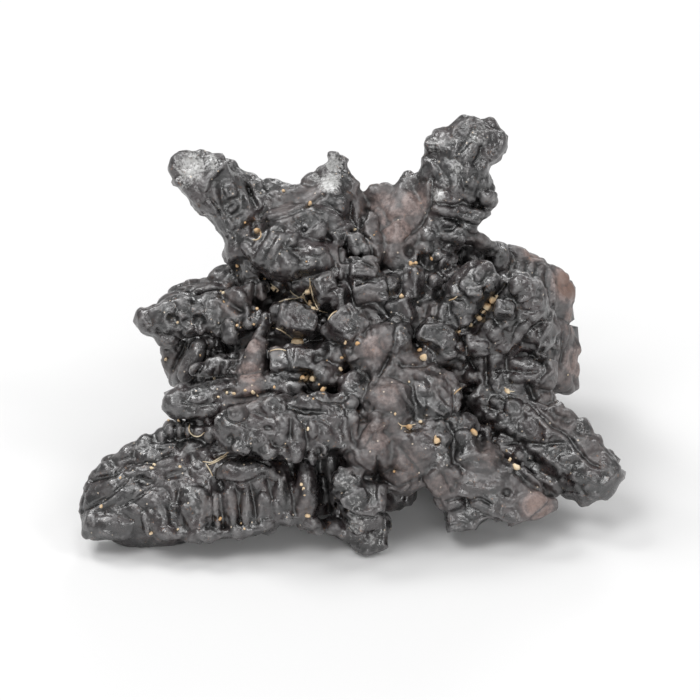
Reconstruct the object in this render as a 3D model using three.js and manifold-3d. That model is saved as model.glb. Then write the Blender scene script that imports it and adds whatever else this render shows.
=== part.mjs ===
// A prophecy stone: one grown cluster of iron-oxide crystals, with ribbed blades and stubby spears
// that point out of a lumpy heart, and a brown slab of the rock it grew in at its back.
// Millimetres, +Z up. The stone rests on the tips of its lower crystals, on the plane Z = 0.
import * as THREE from 'three';
import { ConvexGeometry } from 'three/addons/geometries/ConvexGeometry.js';
import { mergeVertices } from 'three/addons/utils/BufferGeometryUtils.js';
import Module from 'manifold-3d';

const wasm = await Module();
wasm.setup();

// The face of the stone leans back. In the face frame X is right, Y is up the face and Z comes
// straight out of it; turning by FACE_TURN about X and lifting by HEART_HEIGHT stands it up.
const FACE_TURN = THREE.MathUtils.degToRad(60);
const HEART_HEIGHT = 18.1;
const GROUND_SIZE = 200;

// The main crystals in the face frame: where each starts and ends, and the half width and half
// depth of its section.
const UPPER_LEFT_ARM = { from: [-10.9, 10.9, 2], to: [-20.3, 24, 3.5], half: [4.2, 3.4] };
const TOP_PEAK = { from: [-1.6, 14.5, 0], to: [-1.2, 25.2, 1], half: [5, 4.4] };
const UPPER_RIGHT_ARM = { from: [8.6, 11.5, 0], to: [16.6, 28.2, 2.5], half: [5, 4.4] };
const LEFT_ARM = { from: [-13, 5.2, 3], to: [-27.5, 3.9, 3], half: [2.9, 2.8] };
const LEFT_FINGER = { from: [-6, -4.6, 9], to: [-23, -7.4, 11], half: [2.3, 2.4] };
const FRONT_FINGER = { from: [0.5, -9.6, 12.5], to: [-16.6, -10.4, 15.5], half: [4.3, 3.4] };
const GREAT_BLADE = { from: [-2, -16.4, 8], to: [-33.8, -21.4, 10], bow: [0, 2, 0], half: [7, 4.4] };
const RIGHT_BLADE = { from: [17, -5.6, 4], to: [33.4, -18.3, 8], half: [4.8, 3.6] };
const LEFT_LOBE = { from: [10.6, 1, 5], to: [18, 10.2, 8.6], half: [3.3, 3.4] };
const RIGHT_LOBE = { from: [16.2, -0.6, 5], to: [24, 7.9, 8.6], half: [4.6, 3.6] };
const SLAB_FRONT = 13.4;
const SLAB_BACK = 9;

const STANDING = new THREE.Matrix4()
  .makeTranslation(0, 0, HEART_HEIGHT)
  .multiply(new THREE.Matrix4().makeRotationX(FACE_TURN));
const OUT_OF_FACE = new THREE.Vector3(0, 0, 1);
const OUT_OF_BACK = new THREE.Vector3(0, 1, 0.2).normalize();
const GOLDEN_ANGLE = Math.PI * (3 - Math.sqrt(5));

// Seeded random numbers from 0 to 1, so that the same stone grows every time.
function randomFrom(seed) {
  let state = seed;
  return () => {
    state = (state + 0x6d2b79f5) | 0;
    let t = Math.imul(state ^ (state >>> 15), 1 | state);
    t = (t + Math.imul(t ^ (t >>> 7), 61 | t)) ^ t;
    return ((t ^ (t >>> 14)) >>> 0) / 4294967296;
  };
}

function vector(values) {
  return new THREE.Vector3(...values);
}

// A closed geometry as a solid that can be joined and cut.
function solidOf(geometry) {
  const bare = geometry.clone();
  for (const name of Object.keys(bare.attributes)) {
    if (name !== 'position') bare.deleteAttribute(name);
  }
  const merged = mergeVertices(bare, 1e-4);
  return new wasm.Manifold(
    new wasm.Mesh({
      numProp: 3,
      vertProperties: new Float32Array(merged.attributes.position.array),
      triVerts: new Uint32Array(merged.index.array),
    }),
  );
}

function geometryOf(solid) {
  const mesh = solid.getMesh();
  const positions = new Float32Array(mesh.numVert * 3);
  for (let i = 0; i < mesh.numVert; i++) {
    positions.set(mesh.vertProperties.subarray(i * mesh.numProp, i * mesh.numProp + 3), i * 3);
  }
  return new THREE.BufferGeometry()
    .setAttribute('position', new THREE.BufferAttribute(positions, 3))
    .setIndex(new THREE.BufferAttribute(new Uint32Array(mesh.triVerts), 1));
}

// Halves of a list are joined first, so that no join has one very large side.
function joined(solids) {
  if (solids.length === 1) return solids[0];
  const middle = solids.length >> 1;
  return joined(solids.slice(0, middle)).add(joined(solids.slice(middle)));
}

// A flat-faced crystal whose corners are the given points.
function crystal(corners) {
  return solidOf(new ConvexGeometry(corners.map(vector)));
}

// Where a lump stands: its place, its turn in degrees about X, Y and Z, and its half sizes.
function placedBy(at, turn, half) {
  const angles = new THREE.Euler(...turn.map(THREE.MathUtils.degToRad));
  return new THREE.Matrix4().compose(
    vector(at),
    new THREE.Quaternion().setFromEuler(angles),
    vector(half),
  );
}

// A lump with flat facets: points spread over an ellipsoid and moved a little, then wrapped.
function knob({ at, half, turn = [0, 0, 0], facets = 12, rough = 0.1, seed = 1 }) {
  const random = randomFrom(seed * 977 + Math.round(at[0] * 31 + at[1] * 17 + at[2] * 7));
  const placed = placedBy(at, turn, half);
  const start = random() * Math.PI * 2;
  const points = Array.from({ length: facets }, (_, i) => {
    const height = 1 - (2 * (i + 0.5)) / facets;
    const ring = Math.sqrt(1 - height * height);
    const angle = start + i * GOLDEN_ANGLE;
    const reach = 1 + rough * (random() - 0.5) * 2;
    return new THREE.Vector3(Math.cos(angle) * ring, Math.sin(angle) * ring, height)
      .multiplyScalar(reach)
      .applyMatrix4(placed);
  });
  return solidOf(new ConvexGeometry(points));
}

// A box crystal: eight corners, each moved a little.
function block({ at, half, turn = [0, 0, 0], rough = 0.12, seed = 1 }) {
  const random = randomFrom(seed * 641 + Math.round(at[0] * 13 + at[1] * 29));
  const placed = placedBy(at, turn, half);
  const signs = [-1, 1];
  const cube = signs.flatMap((x) => signs.flatMap((y) => signs.map((z) => [x, y, z])));
  const corners = cube.map((corner) =>
    vector(corner.map((side) => side * (1 - rough * random() * 2))).applyMatrix4(placed),
  );
  return solidOf(new ConvexGeometry(corners));
}

// A long crystal: rings of a rounded-diamond to boxy section along a bowed line, in and out for its
// ribs, and closed to a point at both ends. half is the half width and half depth of the section.
function spear({
  from, to, half, bow = [0, 0, 0], roll = 0, sides = 8, squareness = 2, ribs = 4, ribDepth = 0.1,
  girth = [[0, 0.9], [0.5, 1], [0.85, 0.85], [1, 0.5]], nose = 0.35, facing = OUT_OF_FACE,
  rough = 0.05, seed = 1,
}) {
  const random = randomFrom(seed * 409 + Math.round(from[0] * 19 + to[1] * 23));
  const line = new THREE.QuadraticBezierCurve3(
    vector(from),
    vector(from).add(vector(to)).multiplyScalar(0.5).add(vector(bow)),
    vector(to),
  );
  const rings = ribs * 2 + 1;
  const points = [];
  const girthAt = (s) => {
    const next = Math.max(1, girth.findIndex(([place]) => place >= s));
    const [[s0, g0], [s1, g1]] = [girth[next - 1], girth[next]];
    return THREE.MathUtils.mapLinear(s, s0, s1, g0, g1);
  };
  for (let i = 0; i < rings; i++) {
    const s = i / (rings - 1);
    const along = line.getTangent(s);
    const depthWay = facing.clone().addScaledVector(along, -facing.dot(along)).normalize();
    const widthWay = depthWay.clone().cross(along);
    const groove = i % 2 === 0 && i > 0 && i < rings - 1 ? 1 - ribDepth : 1;
    const size = girthAt(s) * groove * (1 + rough * (random() - 0.5) * 2);
    const centre = line.getPoint(s);
    for (let k = 0; k < sides; k++) {
      const angle = (k / sides) * Math.PI * 2;
      const power = 2 / squareness;
      const across = Math.sign(Math.cos(angle)) * Math.abs(Math.cos(angle)) ** power * half[0];
      const out = Math.sign(Math.sin(angle)) * Math.abs(Math.sin(angle)) ** power * half[1];
      const reach = size * (1 + rough * (random() - 0.5) * 2);
      const turned = new THREE.Vector2(across, out)
        .rotateAround(new THREE.Vector2(), THREE.MathUtils.degToRad(roll))
        .multiplyScalar(reach);
      points.push(
        centre.clone().addScaledVector(widthWay, turned.x).addScaledVector(depthWay, turned.y),
      );
    }
  }
  const tail = points.push(line.getPoint(0)) - 1;
  const noseOut = line.getTangent(1).multiplyScalar(nose * Math.min(...half));
  const tip = points.push(line.getPoint(1).add(noseOut)) - 1;
  const faces = [];
  for (let k = 0; k < sides; k++) {
    const next = (k + 1) % sides;
    faces.push(tail, next, k);
    const last = (rings - 1) * sides;
    faces.push(tip, last + k, last + next);
    for (let i = 0; i < rings - 1; i++) {
      const [a, b] = [i * sides + k, i * sides + next];
      faces.push(a, b, a + sides, b, b + sides, a + sides);
    }
  }
  return solidOf(new THREE.BufferGeometry().setFromPoints(points).setIndex(faces));
}

// A row of knobs from one point to another, such as the beads along a blade's edge.
function row({ from, to, count, half, turn, facets = 10, uneven = 0.15, seed = 1 }) {
  const random = randomFrom(seed * 283);
  return Array.from({ length: count }, (_, i) => {
    const share = count === 1 ? 0.5 : i / (count - 1);
    const at = vector(from).lerp(vector(to), share).toArray();
    const size = half.map((value) => value * (1 + uneven * (random() - 0.5) * 2));
    return knob({ at, half: size, turn, facets, seed: seed + i });
  });
}

// The heart of the cluster, which every crystal grows out of.
function heart() {
  return [
    knob({ at: [-3, 0, -3], half: [15.4, 13.4, 10.4], facets: 30 }),
    knob({ at: [11, 1, -2.6], half: [13.4, 12.4, 10.4], facets: 30 }),
    knob({ at: [3, -11, 3], half: [12.4, 8.6, 8], facets: 28 }),
    knob({ at: [-9, -7, 3], half: [10.4, 8.4, 8.4], facets: 24 }),
    knob({ at: [-4, 13, -1], half: [9.4, 7.4, 7.4], facets: 22 }),
    knob({ at: [2, 3, 1], half: [12.4, 9.4, 8.8], facets: 28 }),
  ];
}

// The blunt arm at the upper left, the brown saddle beside it and the lump that hangs under them.
function upperLeft() {
  return [
    spear({
      ...UPPER_LEFT_ARM, squareness: 3, ribs: 3, ribDepth: 0.04,
      girth: [[0, 1.05], [0.35, 0.88], [0.8, 1.04], [1, 0.96]], nose: 0.3, seed: 3,
    }),
    spear({
      from: [-8.5, 17, -2], to: [-16, 25, 0.5], half: [2.5, 2.6], ribs: 2, ribDepth: 0.05, seed: 5,
      girth: [[0, 1.2], [0.6, 1], [1, 0.6]],
    }),
    spear({
      from: [-13.5, 18.5, 0.5], to: [-1, 20.8, 0.5], half: [2.6, 4.2], bow: [0, -0.8, 0], ribs: 2,
      ribDepth: 0.03, girth: [[0, 1], [1, 1]], seed: 8,
    }),
    knob({ at: [-6.8, 16.4, 4.5], half: [6.4, 3.6, 4.6], facets: 16 }),
    knob({ at: [-8.2, 12.6, 6], half: [6.2, 4, 4.6], facets: 18, turn: [0, 0, -12] }),
    knob({ at: [-4, 11.6, 6.2], half: [4.2, 3.4, 4], facets: 15 }),
  ];
}

// The sharp little peak in the middle of the top edge, and the low bump beside it.
function topPeak() {
  return [
    spear({
      ...TOP_PEAK, squareness: 1.6, ribs: 3, ribDepth: 0.03,
      girth: [[0, 1], [0.5, 0.82], [0.78, 0.42], [1, 0.24]], nose: 0.25, seed: 4,
    }),
    knob({ at: [4.3, 19.6, 0], half: [2.6, 2.4, 3], facets: 11 }),
  ];
}

// The large arm at the upper right, with a ridge down its front and deep ribs on its right side.
function upperRight() {
  return [
    spear({
      ...UPPER_RIGHT_ARM, squareness: 1.7, ribs: 5, roll: 8, ribDepth: 0.09,
      girth: [[0, 1], [0.4, 0.92], [0.6, 1], [0.85, 1.04], [1, 0.68]], nose: 0.4,
    }),
    knob({ at: [18.3, 27, 2.2], half: [2.4, 3.4, 3], facets: 13, turn: [0, 0, -25] }),
    knob({ at: [13.2, 27.6, 2.6], half: [3.2, 3, 3], facets: 12 }),
    knob({ at: [17.6, 20.9, 2.4], half: [1.9, 1.7, 2.2], facets: 11 }),
    knob({ at: [16.6, 17.4, 2.2], half: [2.6, 1.9, 2.6], facets: 11 }),
    knob({ at: [14.2, 15.2, 2], half: [3, 1.4, 2.6], facets: 11, turn: [0, 0, -18] }),
    knob({ at: [11.8, 12.8, 1.6], half: [3, 1.3, 2.4], facets: 11, turn: [0, 0, -18] }),
    knob({ at: [7.6, 18.4, 0.5], half: [4, 4.2, 4.2], facets: 15 }),
    knob({ at: [6.6, 12.6, 2.2], half: [3.6, 5.4, 4.4], facets: 15 }),
    ...row({ from: [16, 12.4, -4], to: [20, 12, -5], count: 2, half: [2.1, 2.8, 4] }),
  ];
}

// Two stubby arms and a brown slab at the left.
function leftArms() {
  return [
    spear({
      ...LEFT_ARM, ribs: 4, ribDepth: 0.13, nose: 0.5,
      girth: [[0, 1.25], [0.6, 1], [0.9, 0.92], [1, 0.72]], rough: 0.09, seed: 12,
    }),
    spear({
      from: [-10, 10.6, -1], to: [-23.8, 7, -2], half: [2.2, 2.6], ribs: 3, ribDepth: 0.08,
      girth: [[0, 1.2], [0.7, 0.9], [1, 0.6]], seed: 13,
    }),
    crystal([
      [-25.4, 0.4, -2], [-24.3, -3.7, -3], [-24, -4.7, -3.4], [-22.8, -4.9, -3], [-18.5, -5.2, 1],
      [-16, 2.5, 1], [-24.6, -4, -7], [-22, 2, -8], [-14, -3, -8],
    ]),
    spear({
      from: [-18.6, 1.6, 3], to: [-22.2, -3.7, 2.2], half: [1.1, 1.1], ribs: 2, ribDepth: 0,
    }),
    ...row({ from: [-17.4, 2.8, 4.6], to: [-24.4, 3, 4.4], count: 4, half: [1.2, 1, 1.2], seed: 4 }),
  ];
}

// The smooth finger at the left and the ribbed ridge above it.
function leftFinger() {
  return [
    spear({
      ...LEFT_FINGER, ribs: 3, ribDepth: 0.04,
      girth: [[0, 1.1], [0.8, 1], [1, 0.7]], nose: 0.5, seed: 15,
    }),
    spear({
      from: [-10, -0.4, 5.5], to: [-20.6, -2.9, 6], half: [1.5, 1.7], ribs: 4, ribDepth: 0.2,
    }),
  ];
}

// The broad bumpy finger that comes nearest to the viewer, and the smooth egg under it.
function frontFinger() {
  return [
    spear({
      ...FRONT_FINGER, ribs: 5, ribDepth: 0.07,
      girth: [[0, 0.95], [0.5, 1], [0.8, 0.86], [1, 0.6]], nose: 0.5, squareness: 2.3, seed: 21,
    }),
    knob({ at: [-13.2, -16.1, 13.4], half: [4.7, 2.3, 2.6], facets: 16, rough: 0.03, turn: [0, 0, 4] }),
    ...row({ from: [-14.6, -8, 17.4], to: [-5.4, -7, 16], count: 3, half: [1.8, 1.4, 1.3], seed: 7 }),
    ...row({ from: [-14, -12.6, 17], to: [-4, -13.6, 15.6], count: 4, half: [1.7, 1.6, 1.4], seed: 9 }),
  ];
}

// The great blade at the lower left, lying on its edge, with finger-like ribs down its lower face.
function lowerLeftBlade() {
  const ribs = [
    { x: -24.8, y: -22.2, half: [1.9, 3, 2.6] },
    { x: -19.9, y: -21.3, half: [2.7, 4.2, 2.8] },
    { x: -15.6, y: -20.3, half: [1.7, 4.6, 2.8] },
    { x: -12.9, y: -19.8, half: [1.3, 4.8, 2.6] },
    { x: -10.9, y: -19.5, half: [1.2, 4.8, 2.6] },
    { x: -8.8, y: -18.6, half: [1.4, 4.6, 2.7] },
    { x: -5.6, y: -18.6, half: [1.6, 5.2, 2.8] },
  ];
  return [
    spear({
      ...GREAT_BLADE, squareness: 1.9, ribs: 5, ribDepth: 0.04, roll: -8,
      girth: [[0, 0.75], [0.4, 0.98], [0.7, 1], [0.88, 0.86], [1, 0.46]],
      nose: 0.4, rough: 0.04, seed: 31,
    }),
    ...ribs.map(({ x, y, half }, i) =>
      knob({ at: [x, y, 12.2], half, facets: 15, rough: 0.06, turn: [14, 0, 0], seed: i + 3 }),
    ),
    knob({ at: [-31, -22.6, 11], half: [4, 2.4, 2.6], facets: 15, rough: 0.05, turn: [10, 0, -6] }),
    ...row({ from: [-27.4, -14.2, 7.6], to: [-20, -12.4, 7.4], count: 3, half: [1.6, 2, 2.4], seed: 6 }),
  ];
}

// The knob and the downward spear under the middle: the front foot of the stone.
function bottomSpear() {
  return [
    knob({ at: [1.7, -20, 13.6], half: [3.7, 4.2, 3.8], facets: 12, rough: 0.12, seed: 2 }),
    crystal([
      [-2.3, -21, 9], [-0.8, -24.6, 10.4], [0.6, -26.4, 11.2], [2.4, -27, 11.8], [5.1, -26, 11],
      [5.2, -22, 10], [1.6, -20, 12.6], [-1.4, -20.6, 5], [4.6, -20.6, 5], [2.6, -26.6, 7.8],
    ]),
    spear({
      from: [5, -17, 5], to: [6.4, -20.6, 4], half: [3.2, 3], ribs: 2, ribDepth: 0.04,
    }),
  ];
}

// The smooth slab with its broken brown end, and the rounded box crystal behind it.
function lowerRightSlab() {
  const outline = [
    [12.6, -17.4], [16, -14.6], [20, -14.9], [23, -15.8], [25, -17.4], [26, -19.6],
    [23.8, -21.8], [21.4, -23.2], [19.4, -21.5], [15.8, -20.2],
  ];
  const broken = [[22.6, -19.4], [25.8, -18.6], [27.2, -19.8], [27, -20.8], [25, -22.2], [21.2, -23]];
  return [
    crystal([
      ...outline.map(([x, y]) => [x, y, SLAB_FRONT - (x - 12) * 0.08]),
      ...outline.map(([x, y]) => [x * 0.98, y * 0.96, SLAB_BACK]),
    ]),
    crystal([
      ...broken.map(([x, y]) => [x, y, SLAB_FRONT - 2.4]),
      ...broken.map(([x, y]) => [x * 0.98, y * 0.97, SLAB_BACK - 2]),
    ]),
    spear({
      from: [12.7, -21.4, 8], to: [19.2, -21, 8.6], half: [2.4, 3], squareness: 3.4, ribs: 2,
      ribDepth: 0, girth: [[0, 0.85], [0.5, 1], [1, 0.9]], nose: 0.2,
    }),
    knob({ at: [16.4, -14, 11], half: [4, 3, 3.6], facets: 13 }),
    knob({ at: [13.2, -19.4, 11.6], half: [2.4, 1.8, 2.4], facets: 11 }),
  ];
}

// The long blade at the lower right, with a seam along its upper face.
function rightBlade() {
  return [
    spear({
      ...RIGHT_BLADE, squareness: 1.7, ribs: 3, roll: 24, ribDepth: 0.03,
      girth: [[0, 0.92], [0.4, 0.96], [0.75, 1], [1, 0.74]], nose: 0.35, seed: 41,
    }),
    crystal([
      [22.6, -6.8, 6.4], [25.2, -8.9, 7.4], [18.6, -7.6, 6.8], [20.6, -12, 7.8], [27.6, -12.4, 8.4],
      [20, -8, 3], [26, -14, 4],
    ]),
    ...row({ from: [26.8, -8.4, 3.8], to: [33.6, -14.6, 6.2], count: 3, half: [1.7, 1.7, 2.2], seed: 5 }),
    knob({ at: [26, -6.9, 1], half: [1.8, 2.1, 2.8], facets: 10 }),
  ];
}

// Two thick lobes and a short box crystal at the right, in front of the slab of rock.
function rightLobes() {
  return [
    spear({
      ...LEFT_LOBE, squareness: 2.4, ribs: 4, ribDepth: 0.1,
      girth: [[0, 1], [0.7, 1], [1, 0.72]], nose: 0.4, seed: 51,
    }),
    spear({
      ...RIGHT_LOBE, squareness: 2.2, ribs: 4, roll: -10, ribDepth: 0.06,
      girth: [[0, 0.9], [0.5, 1], [0.85, 0.98], [1, 0.76]], nose: 0.4, seed: 53,
    }),
    knob({ at: [25, 2.6, 6.4], half: [2.4, 3.8, 3], facets: 13, turn: [0, 0, -25] }),
    spear({
      from: [14, -2.9, 4], to: [26.8, -3.2, 6.2], half: [2.2, 2.7], squareness: 3.6, ribs: 2,
      ribDepth: 0.07, girth: [[0, 1], [0.8, 1], [1, 0.86]], nose: 0.15, seed: 57,
    }),
    knob({ at: [11.6, 2.4, 8.6], half: [3, 1.9, 2.2], facets: 11, turn: [0, 0, 8] }),
    ...row({ from: [12.4, 4.6, 8.2], to: [16, 8.8, 10.4], count: 3, half: [1.7, 1.5, 1.6], seed: 3 }),
    ...row({ from: [18.4, 2.6, 9.6], to: [22.6, 8.4, 11], count: 3, half: [1.9, 1.6, 1.6], seed: 8 }),
  ];
}

// The slab of rock that the crystals grew against, broken off flat at its edges.
function rockSlab() {
  return [
    crystal([
      [20.4, 14, -6], [24, 13.4, -7], [26.6, 12.2, -7.4], [28.8, 10.4, -7], [30.5, 8.4, -7],
      [31.3, 6.2, -8], [30, 4, -8.6], [26, 6, -2], [22, 4, -1], [22.6, 10.8, -20], [28.8, 6.6, -20],
      [28.6, 2, -19], [20, 2.6, -21], [18, 10, -14],
    ]),
    crystal([
      [28, 4.4, -6], [31.2, 2.4, -9], [31.8, 0, -10], [31, -2.6, -9.6], [31.3, -5, -10],
      [30.4, -5.9, -10], [27.6, -5.9, -9], [26, 2, -2.6], [27, -4, -3], [22, -4, -3],
      [29, 3, -20], [29.4, -2.6, -19], [25, -5.2, -17], [20, 0, -20],
    ]),
    crystal([
      [27.4, 5, -3], [29.6, 3.4, -5], [29, 0, -4], [27, 0, -2], [24, 4, -3], [27, 2, -9],
    ]),
  ];
}

// Small box crystals and knobs that stand out all over the middle of the face.
function faceCrystals() {
  const boxes = [
    { at: [1.8, 9, 7], half: [2.1, 2.6, 2.6], turn: [-34, 8, 10] },
    { at: [4.6, 7.2, 6], half: [2, 2, 2.4], turn: [-20, 20, -20] },
    { at: [-3.3, 7.4, 7.6], half: [1.7, 2.1, 2.4], turn: [-30, -14, 24] },
    { at: [-1.3, 7, 7], half: [0.9, 1.6, 2.2], turn: [-10, 12, 4] },
    { at: [8.3, 9, 5], half: [0.9, 2, 2.4], turn: [-8, -6, -4] },
    { at: [7, 5.4, 6.6], half: [1.6, 1.6, 2], turn: [-16, 20, 40] },
    { at: [13, 10, 3], half: [1.4, 2, 2.2], turn: [-20, 20, 30] },
    { at: [10.8, 8.2, 3.6], half: [1.2, 2, 2], turn: [10, 10, -16] },
    { at: [-4.8, -0.9, 9.4], half: [1.6, 1.4, 1.8], turn: [20, 20, 8] },
    { at: [1, 13.6, 5.4], half: [1, 1.8, 2], turn: [-20, 0, 28] },
    { at: [2.6, 16.4, 3.4], half: [1, 1.6, 1.8], turn: [-10, 10, -14] },
  ];
  const knobs = [
    { at: [-0.4, 3.2, 9.6], half: [2.1, 2.5, 2.4], facets: 10 },
    { at: [3.3, 0, 10.6], half: [2.3, 3.6, 2.6], facets: 14, rough: 0.03, turn: [0, 0, -10] },
    { at: [-8.3, 5.1, 6.6], half: [2.7, 2.3, 4], facets: 11 },
    { at: [-9, -1.5, 9], half: [1.4, 1.4, 1.6], facets: 10 },
    { at: [-6.7, -0.9, 9.6], half: [1.5, 1.4, 1.6], facets: 10 },
    { at: [-12.4, -1.7, 8.4], half: [1.9, 3.9, 2.4], facets: 15, rough: 0.04, turn: [0, 0, -8] },
    { at: [-11.4, 2.8, 6.8], half: [1, 2.6, 1.8], facets: 10, turn: [0, 0, -18] },
    { at: [-15, 6.4, 5], half: [2.1, 2, 2], facets: 11 },
    { at: [-12.6, 8, 4.6], half: [2, 1.9, 2], facets: 11 },
    { at: [-15.6, 2.6, 5.6], half: [1.8, 1.8, 2], facets: 11 },
    { at: [-13.2, 4.4, 6.2], half: [1.8, 1.7, 2], facets: 11 },
    { at: [-6, 8.6, 6.8], half: [1.8, 1.5, 1.8], facets: 10 },
    { at: [-4.6, 3.4, 7.8], half: [1.8, 1.9, 1.8], facets: 10 },
    { at: [-3.4, -3.4, 10], half: [2.6, 2, 2.4], facets: 11 },
    { at: [0.6, -4.8, 11.4], half: [2.8, 2.8, 2.6], facets: 11 },
    { at: [6.4, 2.6, 9.2], half: [2.2, 2.6, 2.4], facets: 11 },
    { at: [8.4, -1, 9.8], half: [2.4, 2.4, 2.4], facets: 11 },
    { at: [14.2, -0.4, 7.2], half: [2.6, 2.2, 2.4], facets: 11 },
    { at: [5, -7.6, 12.4], half: [4.6, 4.6, 4], facets: 14 },
    { at: [10.6, -6.4, 11], half: [4.6, 5, 3.8], facets: 14 },
    { at: [8.6, -12.6, 12.4], half: [5.6, 4.6, 4.4], facets: 19, rough: 0.06 },
    { at: [2.6, -12.6, 11.6], half: [4.6, 4.8, 5.6], facets: 14 },
    { at: [6.6, -17, 12], half: [3.6, 2.4, 3.6], facets: 11, rough: 0.05 },
    { at: [11.6, -16.4, 12.2], half: [3.4, 3, 3.4], facets: 11 },
    { at: [14.2, -10.8, 10.4], half: [3, 3.4, 3.2], facets: 11 },
    { at: [3.6, -9.4, 15.2], half: [1.6, 2, 1.6], facets: 10, turn: [0, 0, -30] },
  ];
  return [...boxes.map(block), ...knobs.map(knob)];
}

// The crystals at the back, in the standing frame: two of them are the back feet.
function backCrystals() {
  return [
    spear({
      from: [-5, 3, 12], to: [-15.4, 17.4, 1.3], half: [3.7, 3.3], ribs: 3, ribDepth: 0.08, seed: 61,
      facing: OUT_OF_BACK, girth: [[0, 1], [0.6, 1], [1, 0.7]],
    }),
    spear({
      from: [6, 5, 13], to: [14.4, 20.6, 1.3], half: [3.6, 3.8], ribs: 3, ribDepth: 0.08, seed: 62,
      facing: OUT_OF_BACK, squareness: 1.8, girth: [[0, 1], [0.6, 1.05], [1, 0.72]],
    }),
    spear({
      from: [-4, 6, 17], to: [-10.4, 23.4, 21], half: [4, 3.3], ribs: 3, ribDepth: 0.1, seed: 63,
      squareness: 1.7, girth: [[0, 1], [0.6, 1.05], [1, 0.6]],
    }),
    spear({
      from: [5, 8, 20], to: [12.6, 24, 28], half: [3.6, 3.2], ribs: 3, ribDepth: 0.1, seed: 64,
      squareness: 2.6, girth: [[0, 1.1], [0.7, 0.95], [1, 0.7]],
    }),
    spear({
      from: [0, 6, 11], to: [0.6, 25.2, 9.4], half: [5.2, 3.8], ribs: 3, ribDepth: 0.08, seed: 65,
      squareness: 1.8, roll: 12, girth: [[0, 1], [0.6, 1], [1, 0.55]],
    }),
    spear({
      from: [-9, 3, 15], to: [-20.6, 13.6, 13], half: [3.1, 3], ribs: 3, ribDepth: 0.1, seed: 66,
      squareness: 2, girth: [[0, 1.1], [0.7, 0.95], [1, 0.65]],
    }),
    spear({
      from: [10, 6, 14], to: [20, 22.6, 15], half: [3.3, 3.1], ribs: 3, ribDepth: 0.1, seed: 67,
      squareness: 3, girth: [[0, 1.1], [0.7, 1], [1, 0.75]],
    }),
    spear({
      from: [-2, 6, 22], to: [1.6, 19, 29.4], half: [3.2, 2.8], ribs: 3, ribDepth: 0.08, seed: 68,
      squareness: 2, girth: [[0, 1.1], [0.7, 0.95], [1, 0.6]],
    }),
    knob({ at: [1.5, 9, 14.4], half: [14, 9, 9], facets: 24, seed: 2 }),
    knob({ at: [-4, 15, 14.6], half: [5, 4, 4.4], facets: 14 }),
    knob({ at: [7, 15.6, 15.4], half: [5, 4, 4.6], facets: 16, seed: 3 }),
    knob({ at: [-11, 11.6, 9], half: [3.6, 3.4, 3.2], facets: 12, seed: 5 }),
    knob({ at: [7.6, 13, 6], half: [3.4, 3.4, 3], facets: 12, seed: 6 }),
    knob({ at: [-3, -2, 5.4], half: [4.4, 4, 2.8], facets: 13, seed: 7 }),
    knob({ at: [12, 0, 6.8], half: [4.6, 4.4, 3.4], facets: 13, seed: 8 }),
  ];
}

// The deep dark clefts between the crystals.
function clefts() {
  return [
    knob({ at: [-3.6, -20, 14], half: [1.15, 5.4, 6], facets: 15, turn: [0, 0, 6] }),
    knob({ at: [-2.9, -15.4, 17], half: [1.8, 2.2, 5], facets: 12 }),
    knob({ at: [-5.4, 3.2, 11.6], half: [1, 1.6, 2.6], facets: 10 }),
    knob({ at: [10.6, 11.4, 5.6], half: [1.6, 1, 3], facets: 10 }),
  ];
}

const face = joined([
  ...heart(),
  ...upperLeft(),
  ...topPeak(),
  ...upperRight(),
  ...leftArms(),
  ...leftFinger(),
  ...frontFinger(),
  ...lowerLeftBlade(),
  ...bottomSpear(),
  ...lowerRightSlab(),
  ...rightBlade(),
  ...rightLobes(),
  ...rockSlab(),
  ...faceCrystals(),
]).subtract(joined(clefts()));

// Stood up, joined to the back, and worn flat where the lowest tips touch the ground.
const stood = solidOf(geometryOf(face).applyMatrix4(STANDING)).add(joined(backCrystals()));
const ground = solidOf(
  new THREE.BoxGeometry(GROUND_SIZE, GROUND_SIZE, GROUND_SIZE).translate(0, 0, -GROUND_SIZE / 2),
);
const stoneGeometry = geometryOf(stood.subtract(ground)).toNonIndexed();
stoneGeometry.computeVertexNormals();
stoneGeometry.computeBoundingBox();
const middle = stoneGeometry.boundingBox.getCenter(new THREE.Vector3());

const stoneMaterial = new THREE.MeshStandardMaterial({
  color: new THREE.Color(0.05, 0.047, 0.05),
  roughness: 0.45,
  metalness: 0.1,
});
const stone = new THREE.Mesh(stoneGeometry, stoneMaterial);
stone.name = 'stone';
stone.position.set(-middle.x, -middle.y, 0);

const part = new THREE.Group();
part.add(stone);

export default part;
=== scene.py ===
"""A prophecy stone: one grown cluster of iron-oxide crystals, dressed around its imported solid.

The stone's skin is grown from the solid: it is melted to one even mesh, covered with the rounded
scales that such crystals have, and then carved with the ridges, knobs and clefts of its face.
Sand grains and dried threads lie in its clefts. Lengths are in millimetres until a mesh is built.
"""
from __future__ import annotations

import logging
import math
from dataclasses import dataclass, field
from enum import Enum

import bpy
import numpy as np
from mathutils import Euler, Matrix, Vector, noise
from mathutils.bvhtree import BVHTree


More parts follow.
